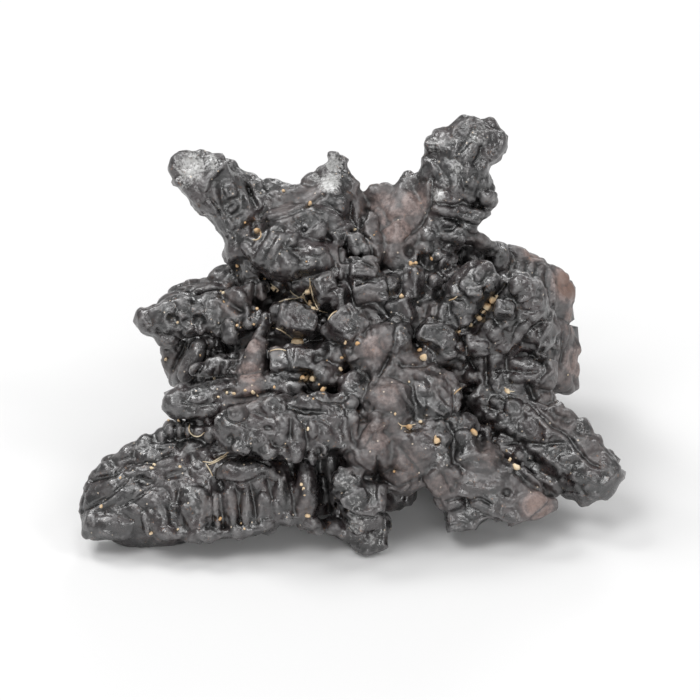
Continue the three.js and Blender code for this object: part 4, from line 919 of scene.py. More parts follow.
@dataclass(frozen=True)
class CurlLayer:
    """Sharp curling ridges, like the height lines of a soft landscape.

    size is how wide the landscape's hills are, lines how many ridges each of them gets and height how far
    the ridges stand out. base and slope say where the ridges fade, and sunk how deep lie the valleys.
    """

    size: float
    height: float
    lines: float
    shift: float
    base: float = 0.6
    slope: float = 1.6
    sunk: float = 0.3

    def lift(self, points: np.ndarray) -> np.ndarray:
        """Returns how much the layer raises each point, in millimetres."""
        land = wandering(points, self.size, self.shift)
        phase = land[:, 0] * self.lines
        crest = 1 - 2 * np.abs(phase - np.floor(phase) - 0.5)
        share = np.clip(self.base + self.slope * land[:, 1], 0, 1)
        return self.height * share * (crest**2 - self.sunk)


@dataclass
class Net:
    """A mesh as arrays, in millimetres, with the sums that smoothing needs."""

    points: np.ndarray
    edges: np.ndarray
    faces: np.ndarray
    grazing: float = 0.02
    ray_start: float = 0.25
    ray_rise: float = 0.1

    @staticmethod
    def of(piece: bpy.types.Object) -> "Net":
        """Returns the arrays of a piece's mesh."""
        mesh = piece.data
        points = np.empty(len(mesh.vertices) * 3)
        mesh.vertices.foreach_get("co", points)
        edges = np.empty(len(mesh.edges) * 2, dtype=np.int64)
        mesh.edges.foreach_get("vertices", edges)
        mesh.calc_loop_triangles()
        faces = np.empty(len(mesh.loop_triangles) * 3, dtype=np.int64)
        mesh.loop_triangles.foreach_get("vertices", faces)
        return Net(points.reshape(-1, 3) / MM, edges.reshape(-1, 2), faces.reshape(-1, 3))

    def averaged(self, values: np.ndarray, rounds: int) -> np.ndarray:
        """Smooths values over the mesh, by moving each halfway to the mean of its neighbours.

        Args:
            values: a number or a row of numbers for each vertex.
            rounds: how often the values are smoothed.

        Returns:
            The smoothed values, in the shape of those given.
        """
        first, second = self.edges.T
        count = len(self.points)
        shares = np.maximum(np.bincount(first, minlength=count) + np.bincount(second, minlength=count), 1)
        flat = values.reshape(count, -1)
        for _ in range(rounds):
            sums = [
                np.bincount(first, column[second], count) + np.bincount(second, column[first], count)
                for column in flat.T
            ]
            flat = 0.5 * flat + 0.5 * np.stack(sums, 1) / shares[:, None]
        return flat.reshape(values.shape)

    def normals(self, rounds: int = 0) -> np.ndarray:
        """Returns the vertex normals, of the mesh smoothed by a number of rounds."""
        points = self.averaged(self.points, rounds)
        a, b, c = (points[self.faces[:, i]] for i in range(3))
        crossed = np.cross(b - a, c - a)
        count = len(points)
        total = np.zeros((count, 3))
        for corner in range(3):
            for axis in range(3):
                total[:, axis] += np.bincount(self.faces[:, corner], crossed[:, axis], count)
        return unit(total)

    def tree(self) -> BVHTree:
        """Returns a tree of the faces for casting rays."""
        return BVHTree.FromPolygons(self.points.tolist(), self.faces.tolist())

    def visible(self, normals: np.ndarray) -> np.ndarray:
        """Finds which vertices the viewer sees, by casting a ray from each of them to the eye.

        Args:
            normals: the vertex normals.

        Returns:
            1 for each vertex that is seen, and 0 for the others.
        """
        tree = self.tree()
        ways = FACE.ways_from(self.points)
        seen = np.zeros(len(self.points))
        facing = np.flatnonzero(np.einsum("ij,ij->i", ways, normals) > self.grazing)
        starts = self.points[facing] + ways[facing] * self.ray_start + normals[facing] * self.ray_rise
        for index, start, way in zip(facing, starts.tolist(), ways[facing].tolist()):
            if tree.ray_cast(start, way)[0] is None:
                seen[index] = 1.0
        return seen

    def write(self, piece: bpy.types.Object) -> None:
        """Puts the points back into a piece's mesh."""
        piece.data.vertices.foreach_set("co", (self.points * MM).ravel())
        piece.data.update()


def hashed(cells: np.ndarray, seed: int) -> np.ndarray:
    """Returns three numbers from 0 to 1 for each whole-numbered cell, always the same ones."""
    mixed = cells.astype(np.int64) @ np.array(CELL_PRIMES) + seed * SEED_PRIME
    columns = []
    for step in (1, 2, 3):
        value = (mixed * MIX_PRIME + step * STEP_PRIME) & WORD
        value = ((value ^ (value >> 15)) * SEED_PRIME) & WORD
        value = ((value ^ (value >> 13)) * STEP_PRIME) & WORD
        columns.append((value ^ (value >> 16)) / (WORD + 1.0))
    return np.stack(columns, 1)


def wandering(points: np.ndarray, size: float, shift: float) -> np.ndarray:
    """Makes a smooth random vector for each point. The noise hangs on the seed that main() sets.

    Args:
        points: places in the frame, in millimetres.
        size: over about how many millimetres the vectors change.
        shift: a number that sets this noise apart from others of its size.

    Returns:
        One vector for each point, with parts from -1 to 1.
    """
    start = Vector((shift, shift, shift))
    return np.array([noise.noise_vector(Vector(point) / size + start) for point in points.tolist()])


def patched(seen: np.ndarray, areas: tuple[Patch, ...]) -> np.ndarray:
    """Returns how strong a set of patches is at each place of the face, from 0 up."""
    total = np.zeros(len(seen))
    for patch in areas:
        reach = np.linalg.norm(seen - np.array(patch.at), axis=1) / patch.radius
        total = np.maximum(total, patch.strength * np.clip(PATCH_CORE - PATCH_FALL * reach, 0, 1))
    return total


def alone(piece: bpy.types.Object) -> None:
    """Selects a piece and nothing else, and makes it the active one."""
    bpy.ops.object.select_all(action="DESELECT")
    piece.select_set(True)
    bpy.context.view_layer.objects.active = piece


def copied(model: bpy.types.Object, stance: Matrix) -> bpy.types.Object:
    """Returns a copy of a model, of which the mesh itself is turned, sized and placed."""
    copy = model.copy()
    copy.data = model.data.copy()
    copy.data.transform(stance)
    bpy.context.scene.collection.objects.link(copy)
    return copy


def joined(pieces: list[bpy.types.Object]) -> bpy.types.Object:
    """Joins pieces into the first of them, and returns it."""
    alone(pieces[0])
    for piece in pieces[1:]:
        piece.select_set(True)
    bpy.ops.object.join()
    return pieces[0]


def apply_modifier(piece: bpy.types.Object, kind: str, **settings: object) -> None:
    """Adds a modifier to a piece with the settings given, and applies it."""
    alone(piece)
    modifier = piece.modifiers.new(kind.title(), kind)
    for name, value in settings.items():
        setattr(modifier, name, value)
    bpy.ops.object.modifier_apply(modifier=modifier.name)


def store(piece: bpy.types.Object, name: str, values: np.ndarray) -> None:
    """Stores one number for each vertex of a piece, under a name that its finish reads."""
    attribute = piece.data.attributes.new(name, "FLOAT", "POINT")
    attribute.data.foreach_set("value", values.astype(np.float32))


@dataclass
class StoneSkin:
    """The stone's surface, grown from its solid.

    Lengths are in millimetres. Those that end in rounds say how often something is smoothed, and those
    that end in share or boost how much of something is left or added.
    """

    voxel: float = 0.25
    melt_rounds: int = 4
    most_triangles: int = 197_000
    layers: tuple[ScaleLayer | CurlLayer, ...] = (
        ScaleLayer(size=3.8, height=0.30, gap=0.80, depth=0.08, tilt=0.14, step=0.10, seed=11),
        ScaleLayer(size=1.8, height=0.08, gap=0.45, depth=0.04, tilt=0.12, step=0.04, seed=23),
        CurlLayer(size=3.0, height=0.09, lines=2.0, shift=3.7),
    )
    warp: float = 0.9
    warp_size: float = 2.6
    warp_shift: float = 5.3
    broad_rounds: int = 5
    normal_rounds: int = 2
    blend_rounds: int = 3
    far_rounds: int = 30
    far_slope: float = 2.5
    settle_rounds: int = 2
    smooth_share: float = 0.75
    carve_share: float = 0.45
    cover_slope: float = 4
    mark_share: float = 1.15
    far_boost: float = 0.5
    footing: float = 1.5
    hold_bands: int = 10
    hold_share: float = 0.22
    standing_reaches: tuple[tuple[int, float], ...] = ((12, 0.3), (3, 0.06))
    paint_rounds: int = 4
    # how fast the painted highlight line on a sharp crest fades
    rim_highlight_slope: float = 1.6
    drift_size: float = 7.0
    drift_shift: float = 2.1
    drift_brown: Place = (3.2, 0.35)
    drift_scuff: Place = (3.0, 0.7)
    drift_scuff_share: float = 0.6
    piece: bpy.types.Object = field(init=False)

    def build(self) -> bpy.types.Object:
        """Returns the finished stone piece."""
        self._copy_solid()
        self._add_lumps()
        self._melt()
        self._carve()
        self._thin()
        self._paint()
        return self.piece

    def _copy_solid(self) -> None:
        """Copies the solid's mesh and joins its loose triangles."""
        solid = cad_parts["stone"]
        mesh = solid.data.copy()
        mesh.name = "stone_skin"
        mesh.materials.clear()
        self.piece = bpy.data.objects.new("stone_skin", mesh)
        bpy.context.scene.collection.objects.link(self.piece)
        alone(self.piece)
        bpy.ops.object.mode_set(mode="EDIT")
        bpy.ops.mesh.select_all(action="SELECT")
        bpy.ops.mesh.remove_doubles(threshold=WELD)
        bpy.ops.object.mode_set(mode="OBJECT")

    def _add_lumps(self) -> None:
        """Adds the small crystals that fill the gaps between the arms."""
        bpy.ops.object.select_all(action="DESELECT")
        bpy.ops.mesh.primitive_ico_sphere_add(subdivisions=3, radius=0.5 * MM)
        ball = bpy.context.object
        bpy.ops.mesh.primitive_cube_add(size=MM)
        box = bpy.context.object
        made = [copied(box if isinstance(lump, Box) else ball, self._stance(lump)) for lump in LUMPS]
        bpy.data.objects.remove(ball)
        bpy.data.objects.remove(box)
        joined([self.piece, *made])

    @staticmethod
    def _stance(lump: Lump) -> Matrix:
        """Returns the matrix that makes a model one millimetre wide into a lump."""
        turn = Matrix.Rotation(math.radians(lump.turn), 4, "Z")
        if isinstance(lump, Box):
            across, up = lump.tip
            turn = Euler((math.radians(across), math.radians(up), 0)).to_matrix().to_4x4() @ turn
        face = Matrix(FACE.axes.T.tolist()).to_4x4()
        place = Matrix.Translation(Vector(FACE.place(*lump.at, lump.depth).tolist()) * MM)
        return place @ face @ turn @ Matrix.Diagonal((*lump.size, 1.0))

    def _melt(self) -> None:
        """Makes one even mesh of the solid, rounds its edges and pulls its arms into place."""
        apply_modifier(self.piece, "REMESH", mode="VOXEL", voxel_size=self.voxel * MM)
        net = Net.of(self.piece)
        net.points = net.averaged(net.points, self.melt_rounds)
        seen = FACE.seen(net.points)
        across = np.zeros((len(seen), 2))
        for pull in PULLS:
            reach = np.linalg.norm(seen - np.array(pull.at), axis=1) / pull.radius
            across += np.clip(1 - reach**2, 0, 1)[:, None] ** 2 * np.array(pull.move)
        net.points = net.points + across @ FACE.axes[:2]
        net.write(self.piece)

    def _carve(self) -> None:
        """Raises the scales all over, and carves the marks of the face."""
        net = Net.of(self.piece)
        normals = net.normals(self.broad_rounds)
        visible = net.averaged(net.visible(net.normals(self.normal_rounds)), self.blend_rounds)
        seen = FACE.seen(net.points)
        marks, cover = self._marks(seen)
        calm = np.clip(patched(seen, SMOOTH_PATCHES), 0, 1) * self.smooth_share
        calm = np.maximum(calm, cover * self.carve_share) * visible
        warped = net.points + self.warp * wandering(net.points, self.warp_size, self.warp_shift)
        lifted = sum(layer.lift(warped) for layer in self.layers)
        leaning = unit(normals + FACE.ways_from(net.points))
        far = np.clip(1 - self.far_slope * net.averaged(visible, self.far_rounds), 0, 1)
        moved = normals * (lifted * (1 - calm) * (1 + self.far_boost * far))[:, None]
        moved += leaning * (self.mark_share * marks * visible)[:, None]
        net.points = net.points + moved * np.clip(net.points[:, 2:] / self.footing, 0, 1)
        net.points = net.averaged(net.points, self.settle_rounds)
        net.points[:, 2] = np.maximum(net.points[:, 2], 0.0)
        net.write(self.piece)
        self._hold(1 - far)

    def _marks(self, seen: np.ndarray) -> tuple[np.ndarray, np.ndarray]:
        """Puts all the marks together.

        Args:
            seen: the places on the face.

        Returns:
            How much the marks raise each place, in millimetres, and how much of it they cover, from 0 to 1.
        """
        raised, sunk, cover = (np.zeros(len(seen)) for _ in range(3))
        for mark in CARVING:
            near = mark.near(seen)
            lift = mark.lift(seen[near])
            cover[near] = np.maximum(cover[near], np.clip(np.abs(lift) * self.cover_slope, 0, 1))
            if mark.height > 0:
                raised[near] = np.maximum(raised[near], lift)
            else:
                sunk[near] = np.minimum(sunk[near], lift)
        return raised + sunk, cover

    def _hold(self, visible: np.ndarray) -> None:
        """Makes a vertex group that lets the unseen side lose more triangles than the face."""
        group = self.piece.vertex_groups.new(name="thin")
        band = 1 / self.hold_bands
        for low in np.linspace(0, 1 - band, self.hold_bands):
            top = low + band + (low > 1 - 1.5 * band)
            inside = np.flatnonzero((visible >= low) & (visible < top))
            group.add(inside.tolist(), float(1.0 - self.hold_share * (low + band / 2)), "REPLACE")

    def _thin(self) -> None:
        """Takes away triangles where the surface is plain or hidden."""
        apply_modifier(self.piece, "TRIANGULATE")
        share = self.most_triangles / len(self.piece.data.polygons)
        log.info("skin before thinning: %d triangles", len(self.piece.data.polygons))
        if share < 1:
            apply_modifier(self.piece, "DECIMATE", ratio=share, vertex_group="thin", vertex_group_factor=1.0)
        self.piece.vertex_groups.clear()
        self.piece.data.shade_smooth()

    def _paint(self) -> None:
        """Stores where the stone stands out, where its sharp crests get a painted highlight line, and where
        it is brown and scuffed, for the finish.
        """
        net = Net.of(self.piece)
        normals = net.normals(self.normal_rounds)
        standing = np.zeros(len(net.points))
        for rounds, most in self.standing_reaches:
            height = np.einsum("ij,ij->i", net.points - net.averaged(net.points, rounds), normals)
            standing += np.clip(height / most, -1, 1) / len(self.standing_reaches)
        visible = net.averaged(net.visible(normals), self.paint_rounds)
        hidden = 1 - visible
        seen = FACE.seen(net.points)
        drift = wandering(net.points, self.drift_size, self.drift_shift)
        far_brown = np.clip(drift[:, 0] * self.drift_brown[0] - self.drift_brown[1], 0, 1)
        far_scuff = np.clip(drift[:, 1] * self.drift_scuff[0] - self.drift_scuff[1], 0, 1)
        far_scuff = far_scuff * self.drift_scuff_share
        # standing drives the painted shade in the hollows and, with wear, the painted highlight on raised
        # edges
        store(self.piece, "standing", standing)
        # painted highlight: a pale line along the sharp crests of the seen face
        store(self.piece, "rim_highlight", self._rim_highlights(seen) * visible)
        store(self.piece, "brown", patched(seen, BROWN_PATCHES) * visible + far_brown * hidden)
        store(self.piece, "scuff", patched(seen, SCUFF_PATCHES) * visible + far_scuff * hidden)
        log.info("seen share of the skin's vertices: %.2f", visible.mean())

    def _rim_highlights(self, seen: np.ndarray) -> np.ndarray:
        """Returns how near each place is to the crest of a sharp ridge, from 0 to 1, where the finish paints
        a highlight line.
        """
        rim_highlight = np.zeros(len(seen))
        for mark in CARVING:
            if isinstance(mark, Stroke) and mark.profile is Profile.SHARP:
                near = mark.near(seen)
                crest = 1.0 - self.rim_highlight_slope * mark.reach(seen[near])
                rim_highlight[near] = np.maximum(rim_highlight[near], np.clip(crest, 0, 1))
        return rim_highlight


@dataclass
class Crumbs:
    """The sand grains and dried threads that lie in the stone's clefts.

    stand is how far a grain's middle stands out, as a share of its size, and grain_shape its length,
    width and depth, each as a base and what a draw adds. thread_bend is how much of its own place a
    thread's point keeps, and how much it takes from each neighbour.
    """

    tree: BVHTree
    stand: float = 0.4
    sunk_share: float = 0.15
    big_grain: float = 1.5
    grain_seed: int = 91
    grain_turn: float = 6
    grain_shape: tuple[Place, Place, Place] = ((1.3, -0.5), (0.75, 0.4), (0.6, 0.4))
    dent: float = 0.32
    dent_size: float = 0.45
    dent_shift: float = 8.8
    thread_width: float = 0.15
    thread_stand: float = 0.3
    thread_parts: int = 3
    thread_rounds: int = 2
    thread_bend: Place = (0.4, 0.3)
    thread_ends: float = 0.6
    thread_middle: float = 0.7

    def _landing(self, x: float, u: float) -> tuple[Vector, Vector] | None:
        """Finds where the viewer's look at a place of the face meets the skin.

        Args:
            x: millimetres to the right.
            u: millimetres up the face.

        Returns:
            The point and the skin's normal there, or None where nothing is seen.
        """
        eye, way = Vector(FACE.eye().tolist()), Vector(FACE.way_to(x, u).tolist())
        hit, normal, _, _ = self.tree.ray_cast(eye, way)
        if hit is None:
            log.warning("nothing is seen at (%.1f, %.1f)", x, u)
            return None
        return hit, normal

    def grains(self) -> bpy.types.Object:
        """Returns one piece with all the sand grains."""
        bpy.ops.object.select_all(action="DESELECT")
        bpy.ops.mesh.primitive_ico_sphere_add(subdivisions=2, radius=0.5 * MM)
        model = bpy.context.object
        made = []
        for index, (x, u, size) in enumerate(GRAINS):
            landing = self._landing(x, u)
            if landing is not None:
                made.append(copied(model, self._grain_stance(index, size, *landing)))
        bpy.data.objects.remove(model)
        sand = joined(made)
        sand.name = "sand_grains"
        net = Net.of(sand)
        dents = wandering(net.points, self.dent_size, self.dent_shift)[:, :1]
        net.points += net.normals() * (self.dent * dents)
        net.write(sand)
        bpy.ops.object.shade_smooth()
        return sand

    def _grain_stance(self, index: int, size: float, hit: Vector, normal: Vector) -> Matrix:
        """Makes the matrix that turns the model into one grain.

        Args:
            index: the grain's number, which its draws hang on.
            size: how wide it is, in millimetres.
            hit: where it lies on the skin.
            normal: the skin's normal there.

        Returns:
            The matrix for a model one millimetre wide.
        """
        draw = hashed(np.array([[index, 3, 5]]), self.grain_seed)[0]
        stand = self.stand - self.sunk_share * (size < self.big_grain)
        centre = (hit + normal * size * stand) * MM
        turn = Euler([self.grain_turn * number for number in draw]).to_matrix().to_4x4()
        sizes = [base + more * number for (base, more), number in zip(self.grain_shape, draw)]
        shape = Matrix.Diagonal((*sizes, 1.0)) * size
        shape[3][3] = 1.0
        return Matrix.Translation(centre) @ turn @ shape

    def threads(self) -> bpy.types.Object:
        """Returns one piece with all the dried threads."""
        curve = bpy.data.curves.new("dried_threads", "CURVE")
        curve.dimensions = "3D"
        curve.bevel_depth = self.thread_width / 2 * MM
        curve.bevel_resolution = 1
        curve.use_fill_caps = True
        for line in THREADS:
            landings = [landing for landing in (self._landing(x, u) for x, u in self._bent(line)) if landing]
            if len(landings) < 2:
                continue
            spline = curve.splines.new("POLY")
            spline.points.add(len(landings) - 1)
            for index, (hit, normal) in enumerate(landings):
                swell = math.sin(math.pi * (index + 0.5) / len(landings))
                place = (hit + normal * self.thread_width * self.thread_stand) * MM
                spline.points[index].co = (*place, 1.0)
                spline.points[index].radius = self.thread_ends + self.thread_middle * swell
        piece = bpy.data.objects.new("dried_threads", curve)
        bpy.context.scene.collection.objects.link(piece)
        alone(piece)
        bpy.ops.object.convert(target="MESH")
        bpy.ops.object.shade_smooth()
        return bpy.context.object

    def _bent(self, line: tuple[Place, ...]) -> list[list[float]]:
        """Returns the places along a thread, with its corners softened."""
        places = []
        for start, end in zip(line[:-1], line[1:]):
            first, way = np.array(start), np.array(end) - start
            places += [first + way * part / self.thread_parts for part in range(self.thread_parts)]
        bent = np.array([*places, line[-1]])
        own, side = self.thread_bend
        for _ in range(self.thread_rounds):
            bent[1:-1] = bent[1:-1] * own + (bent[:-2] + bent[2:]) * side
        return bent.tolist()


@dataclass(frozen=True)
class Speckle:
    """Fractal noise: its features to a millimetre, their detail and roughness, and how much they curl."""

    scale: float
    detail: float = 4.0
    roughness: float = 0.6
    curl: float = 0.0


@dataclass(frozen=True)
class Span:
    """A range of values, and the range that they are moved to."""

    low: float
    high: float
    to_low: float = 0.0
    to_high: float = 1.0


Socket = bpy.types.NodeSocket


@dataclass(frozen=True)
class Graph:
    """The nodes of one material, with short ways to add and join them."""

    material: bpy.types.Material

    @staticmethod
    def new(name: str) -> "Graph":
        """Returns the graph of a new material, emptied but for its shader and output."""
        material = bpy.data.materials.new(name)
        material.use_nodes = True
        return Graph(material)

    @property
    def shader(self) -> bpy.types.Node:
        """The material's main shader."""
        return self.material.node_tree.nodes["Principled BSDF"]

    def node(self, kind: str, **settings: object) -> bpy.types.Node:
        """Returns a new node with the settings given."""
        made = self.material.node_tree.nodes.new(kind)
        for name, value in settings.items():
            setattr(made, name, value)
        return made

    def join(self, source: Socket, target: Socket) -> None:
        """Joins one socket to another."""
        self.material.node_tree.links.new(source, target)

    def attribute(self, name: str) -> Socket:
        """Returns the number that the mesh stores under a name."""
        return self.node("ShaderNodeAttribute", attribute_name=name).outputs["Fac"]

    def speckle(self, kind: Speckle) -> Socket:
        """Returns noise in the object's own space."""
        texture = self.node("ShaderNodeTexNoise")
        texture.inputs["Scale"].default_value = kind.scale / MM
        texture.inputs["Detail"].default_value = kind.detail
        texture.inputs["Roughness"].default_value = kind.roughness
        texture.inputs["Distortion"].default_value = kind.curl
        self.join(self.node("ShaderNodeTexCoord").outputs["Object"], texture.inputs["Vector"])
        return texture.outputs["Fac"]

    def specks(self, scale: float, radius: float, rarity: float) -> Socket:
        """Makes small round specks in the object's own space.

        Args:
            scale: how many places for a speck there are to a millimetre.
            radius: how big a speck is, as a share of the way between two places.
            rarity: the share of the places that stay empty.

        Returns:
            A socket that is 1 on the specks and 0 elsewhere.
        """
        texture = self.node("ShaderNodeTexVoronoi")
        texture.inputs["Scale"].default_value = scale / MM
        self.join(self.node("ShaderNodeTexCoord").outputs["Object"], texture.inputs["Vector"])
        split = self.node("ShaderNodeSeparateColor")
        self.join(texture.outputs["Color"], split.inputs["Color"])
        chosen = self.sum(split.outputs["Red"], rarity, "GREATER_THAN")
        return self.sum(chosen, self.sum(texture.outputs["Distance"], radius, "LESS_THAN"), "MULTIPLY")

    def ranged(self, value: Socket, span: Span) -> Socket:
        """Returns a value moved from one range to another and kept inside it."""
        made = self.node("ShaderNodeMapRange")
        limits = {"From Min": span.low, "From Max": span.high, "To Min": span.to_low, "To Max": span.to_high}
        for name, number in limits.items():
            made.inputs[name].default_value = number
        self.join(value, made.inputs["Value"])
        return made.outputs["Result"]

    def sum(self, first: Socket, second: Socket | float, operation: str = "ADD") -> Socket:
        """Returns two values put together by an operation."""
        made = self.node("ShaderNodeMath", operation=operation)
        self.join(first, made.inputs[0])
        if isinstance(second, float):
            made.inputs[1].default_value = second
        else:
            self.join(second, made.inputs[1])
        return made.outputs["Value"]

    def scaled(self, value: Socket, share: float) -> Socket:
        """Returns a value times a number."""
        return self.sum(value, share, "MULTIPLY")

    def mixed(self, share: Socket, first: Socket | Triple, second: Socket | Triple) -> Socket:
        """Returns a colour between two, each a colour or a socket."""
        made = self.node("ShaderNodeMix", data_type="RGBA")
        self.join(share, made.inputs["Factor"])
        for name, value in (("A", first), ("B", second)):
            socket = next(s for s in made.inputs if s.name == name and s.type == "RGBA")
            if isinstance(value, tuple):
                socket.default_value = (*value, 1.0)
            else:
                self.join(value, socket)
        return next(s for s in made.outputs if s.type == "RGBA")

    def bumped(self, heights: tuple[tuple[Socket, float], ...]) -> None:
        """Gives the shader bumps from (value, height in millimetres) pairs."""
        below = None
        for value, height in heights:
            bump = self.node("ShaderNodeBump")
            bump.inputs["Strength"].default_value = 1.0
            bump.inputs["Distance"].default_value = height * MM
            self.join(value, bump.inputs["Height"])
            if below is not None:
                self.join(below, bump.inputs["Normal"])
            below = bump.outputs["Normal"]
        self.join(below, self.shader.inputs["Normal"])


@dataclass(frozen=True)
class StoneFinish:
    """Satin black iron oxide: brown and matte in places, dusty, paler on its raised edges as wear and painted
    highlight, with painted highlight lines on its sharp crests and painted shade in its hollows.

    The colours come first, then the noises and then, from the body to the roughness, the range in which
    each thing sets in and how strong it gets.
    """

    black: Triple = (0.004, 0.004, 0.004)
    dark: Triple = (0.015, 0.0143, 0.0155)
    plum: Triple = (0.034, 0.024, 0.025)
    # pale grey of the raised edges, partly wear and partly painted highlight
    wear_and_highlight: Triple = (0.080, 0.076, 0.078)
    dust: Triple = (0.18, 0.17, 0.165)
    brown: Triple = (0.036, 0.027, 0.026)
    pale_brown: Triple = (0.105, 0.080, 0.076)
    dim_pink: Triple = (0.070, 0.048, 0.044)
    pink: Triple = (0.26, 0.190, 0.172)
    russet: Triple = (0.165, 0.088, 0.060)
    # whitish of the scuffs, and of the painted highlight lines on sharp crests
    whitish: Triple = (0.52, 0.52, 0.51)
    rust: Triple = (0.26, 0.12, 0.055)
    speck: Triple = (0.55, 0.46, 0.36)
    ior: float = 1.95

    mottle: Speckle = Speckle(0.35, 5.0)
    middle: Speckle = Speckle(1.1, 6.0, 0.65)
    fine: Speckle = Speckle(2.6, 4.0, 0.7)
    grit: Speckle = Speckle(6.0, 2.0)
    swirl: Speckle = Speckle(0.55, 5.0, 0.6, 1.2)
    plum_drift: Speckle = Speckle(0.22, 3.0)
    rust_drift: Speckle = Speckle(0.9, 3.0)
    satin_drift: Speckle = Speckle(0.6, 3.0)
    dents: tuple[tuple[Speckle, float], ...] = ((Speckle(0.7, 1.0), 0.28), (Speckle(1.5, 1.0), 0.05))
    contour_lines: float = 4.0
    contour_fold: float = 0.5
    contour_height: float = 0.03

    body_span: Span = Span(0.38, 0.62)
    plum_span: Span = Span(0.45, 0.65)
    # painted shade in the hollows
    hollow_shade_span: Span = Span(-0.7, -0.1, 0.85, 0.0)
    # paler raised edges, partly wear and partly painted highlight
    edge_shares: Triple = (0.7, 0.8, 0.9)
    edge_span: Span = Span(0.72, 1.35)
    matte_span: Span = Span(1.1, 2.0)
    earth_span: Span = Span(0.85, 1.2)
    pink_grain: Span = Span(0.8, 1.15)
    pink_span: Span = Span(0.95, 1.15)
    russet_span: Span = Span(1.25, 1.5, 0.0, 0.85)
    # painted shade in the hollows of the earthy patches
    earth_hollow_shade: Span = Span(-0.6, 0.0, 0.8, 0.0)
    dust_standing: float = 0.25
    dust_span: Span = Span(1.14, 1.34, 0.0, 0.38)
    scuff_share: float = 0.36
    scuff_span: Span = Span(0.76, 0.97, 0.0, 0.85)
    # painted highlight lines along sharp crests
    rim_highlight_share: float = 0.6
    rim_highlight_span: Span = Span(0.88, 1.3, 0.0, 0.5)
    rust_span: Span = Span(1.22, 1.36, 0.0, 0.8)
    specks: Triple = (1.1, 0.13, 0.80)
    satin_span: Span = Span(0.35, 0.65, 0.20, 0.38)
    matte_dull: Span = Span(0.0, 1.0, 0.0, 0.25)
    dust_dull: Span = Span(0.0, 0.55, 0.0, 0.2)

    def material(self) -> bpy.types.Material:
        """Returns the stone's material."""
        graph = Graph.new("iron_oxide")
        names = ("standing", "brown", "rim_highlight", "scuff")
        standing, brown, rim_highlight, scuff = (graph.attribute(name) for name in names)
        middle, fine = graph.speckle(self.middle), graph.speckle(self.fine)
        lines = graph.scaled(graph.speckle(self.swirl), self.contour_lines)
        contour = graph.sum(lines, self.contour_fold, "PINGPONG")
        matte = graph.ranged(graph.sum(brown, graph.sum(middle, graph.speckle(self.mottle))), self.matte_span)
        thick = graph.sum(graph.sum(fine, middle), graph.scaled(standing, self.dust_standing))
        dusty = graph.ranged(thick, self.dust_span)
        scuffed = graph.ranged(graph.sum(graph.scaled(scuff, self.scuff_share), fine), self.scuff_span)
        # painted highlight: pale lines along sharp crests, broken by noise
        rim_highlight_mix = graph.ranged(graph.sum(graph.scaled(rim_highlight, self.rim_highlight_share), middle), self.rim_highlight_span)
        rusty = graph.sum(graph.speckle(self.rust_drift), graph.speckle(self.grit))

        colour = self._body(graph, standing, middle, contour)
        colour = graph.mixed(matte, colour, self._earth(graph, standing, brown, graph.sum(middle, fine)))
        colour = graph.mixed(dusty, colour, self.dust)
        colour = graph.mixed(scuffed, colour, self.whitish)
        # painted highlight on the sharp crests
        colour = graph.mixed(rim_highlight_mix, colour, self.whitish)
        colour = graph.mixed(graph.ranged(rusty, self.rust_span), colour, self.rust)
        colour = graph.mixed(graph.specks(*self.specks), colour, self.speck)
        graph.join(colour, graph.shader.inputs["Base Color"])

        satin = graph.ranged(graph.speckle(self.satin_drift), self.satin_span)
        dull = graph.sum(graph.ranged(matte, self.matte_dull), graph.ranged(dusty, self.dust_dull))
        graph.join(graph.sum(satin, dull), graph.shader.inputs["Roughness"])
        graph.shader.inputs["IOR"].default_value = self.ior
        dents = tuple((graph.speckle(kind), height) for kind, height in self.dents)
        graph.bumped((*dents, (contour, self.contour_height)))
        return graph.material

    def _body(self, graph: Graph, standing: Socket, middle: Socket, contour: Socket) -> Socket:
        """Makes the colour of the bare stone.

        Args:
            graph: the material's graph.
            standing: how far the surface stands out.
            middle: noise of middle size.
            contour: the curling lines.

        Returns:
            The colour: black in the hollows as painted shade, dark on the faces, plum in places, and paler on
                the raised edges as wear and painted highlight.
        """
        body = graph.mixed(graph.ranged(middle, self.body_span), self.black, self.dark)
        body = graph.mixed(graph.ranged(graph.speckle(self.plum_drift), self.plum_span), body, self.plum)
        # painted shade: black in the hollows
        body = graph.mixed(graph.ranged(standing, self.hollow_shade_span), body, self.black)
        line_share, noise_share, standing_share = self.edge_shares
        streak = graph.sum(graph.scaled(contour, line_share), graph.scaled(middle, noise_share))
        # paler raised edges: partly wear, partly painted highlight
        edge = graph.ranged(graph.sum(graph.scaled(standing, standing_share), streak), self.edge_span)
        return graph.mixed(edge, body, self.wear_and_highlight)

    def _earth(self, graph: Graph, standing: Socket, brown: Socket, grain: Socket) -> Socket:
        """Makes the colour of the earthy patches.

        Args:
            graph: the material's graph.
            standing: how far the surface stands out.
            brown: how strong the patches are.
            grain: fine noise.

        Returns:
            The colour: brown, then pink and then russet where the patches get stronger, and black in the
                hollows as painted shade.
        """
        earthy = graph.mixed(graph.ranged(grain, self.earth_span), self.brown, self.pale_brown)
        pinkish = graph.mixed(graph.ranged(grain, self.pink_grain), self.dim_pink, self.pink)
        earthy = graph.mixed(graph.ranged(brown, self.pink_span), earthy, pinkish)
        earthy = graph.mixed(graph.ranged(brown, self.russet_span), earthy, self.russet)
        # painted shade: the earthy patches turn black in the hollows
        return graph.mixed(graph.ranged(standing, self.earth_hollow_shade), earthy, self.black)


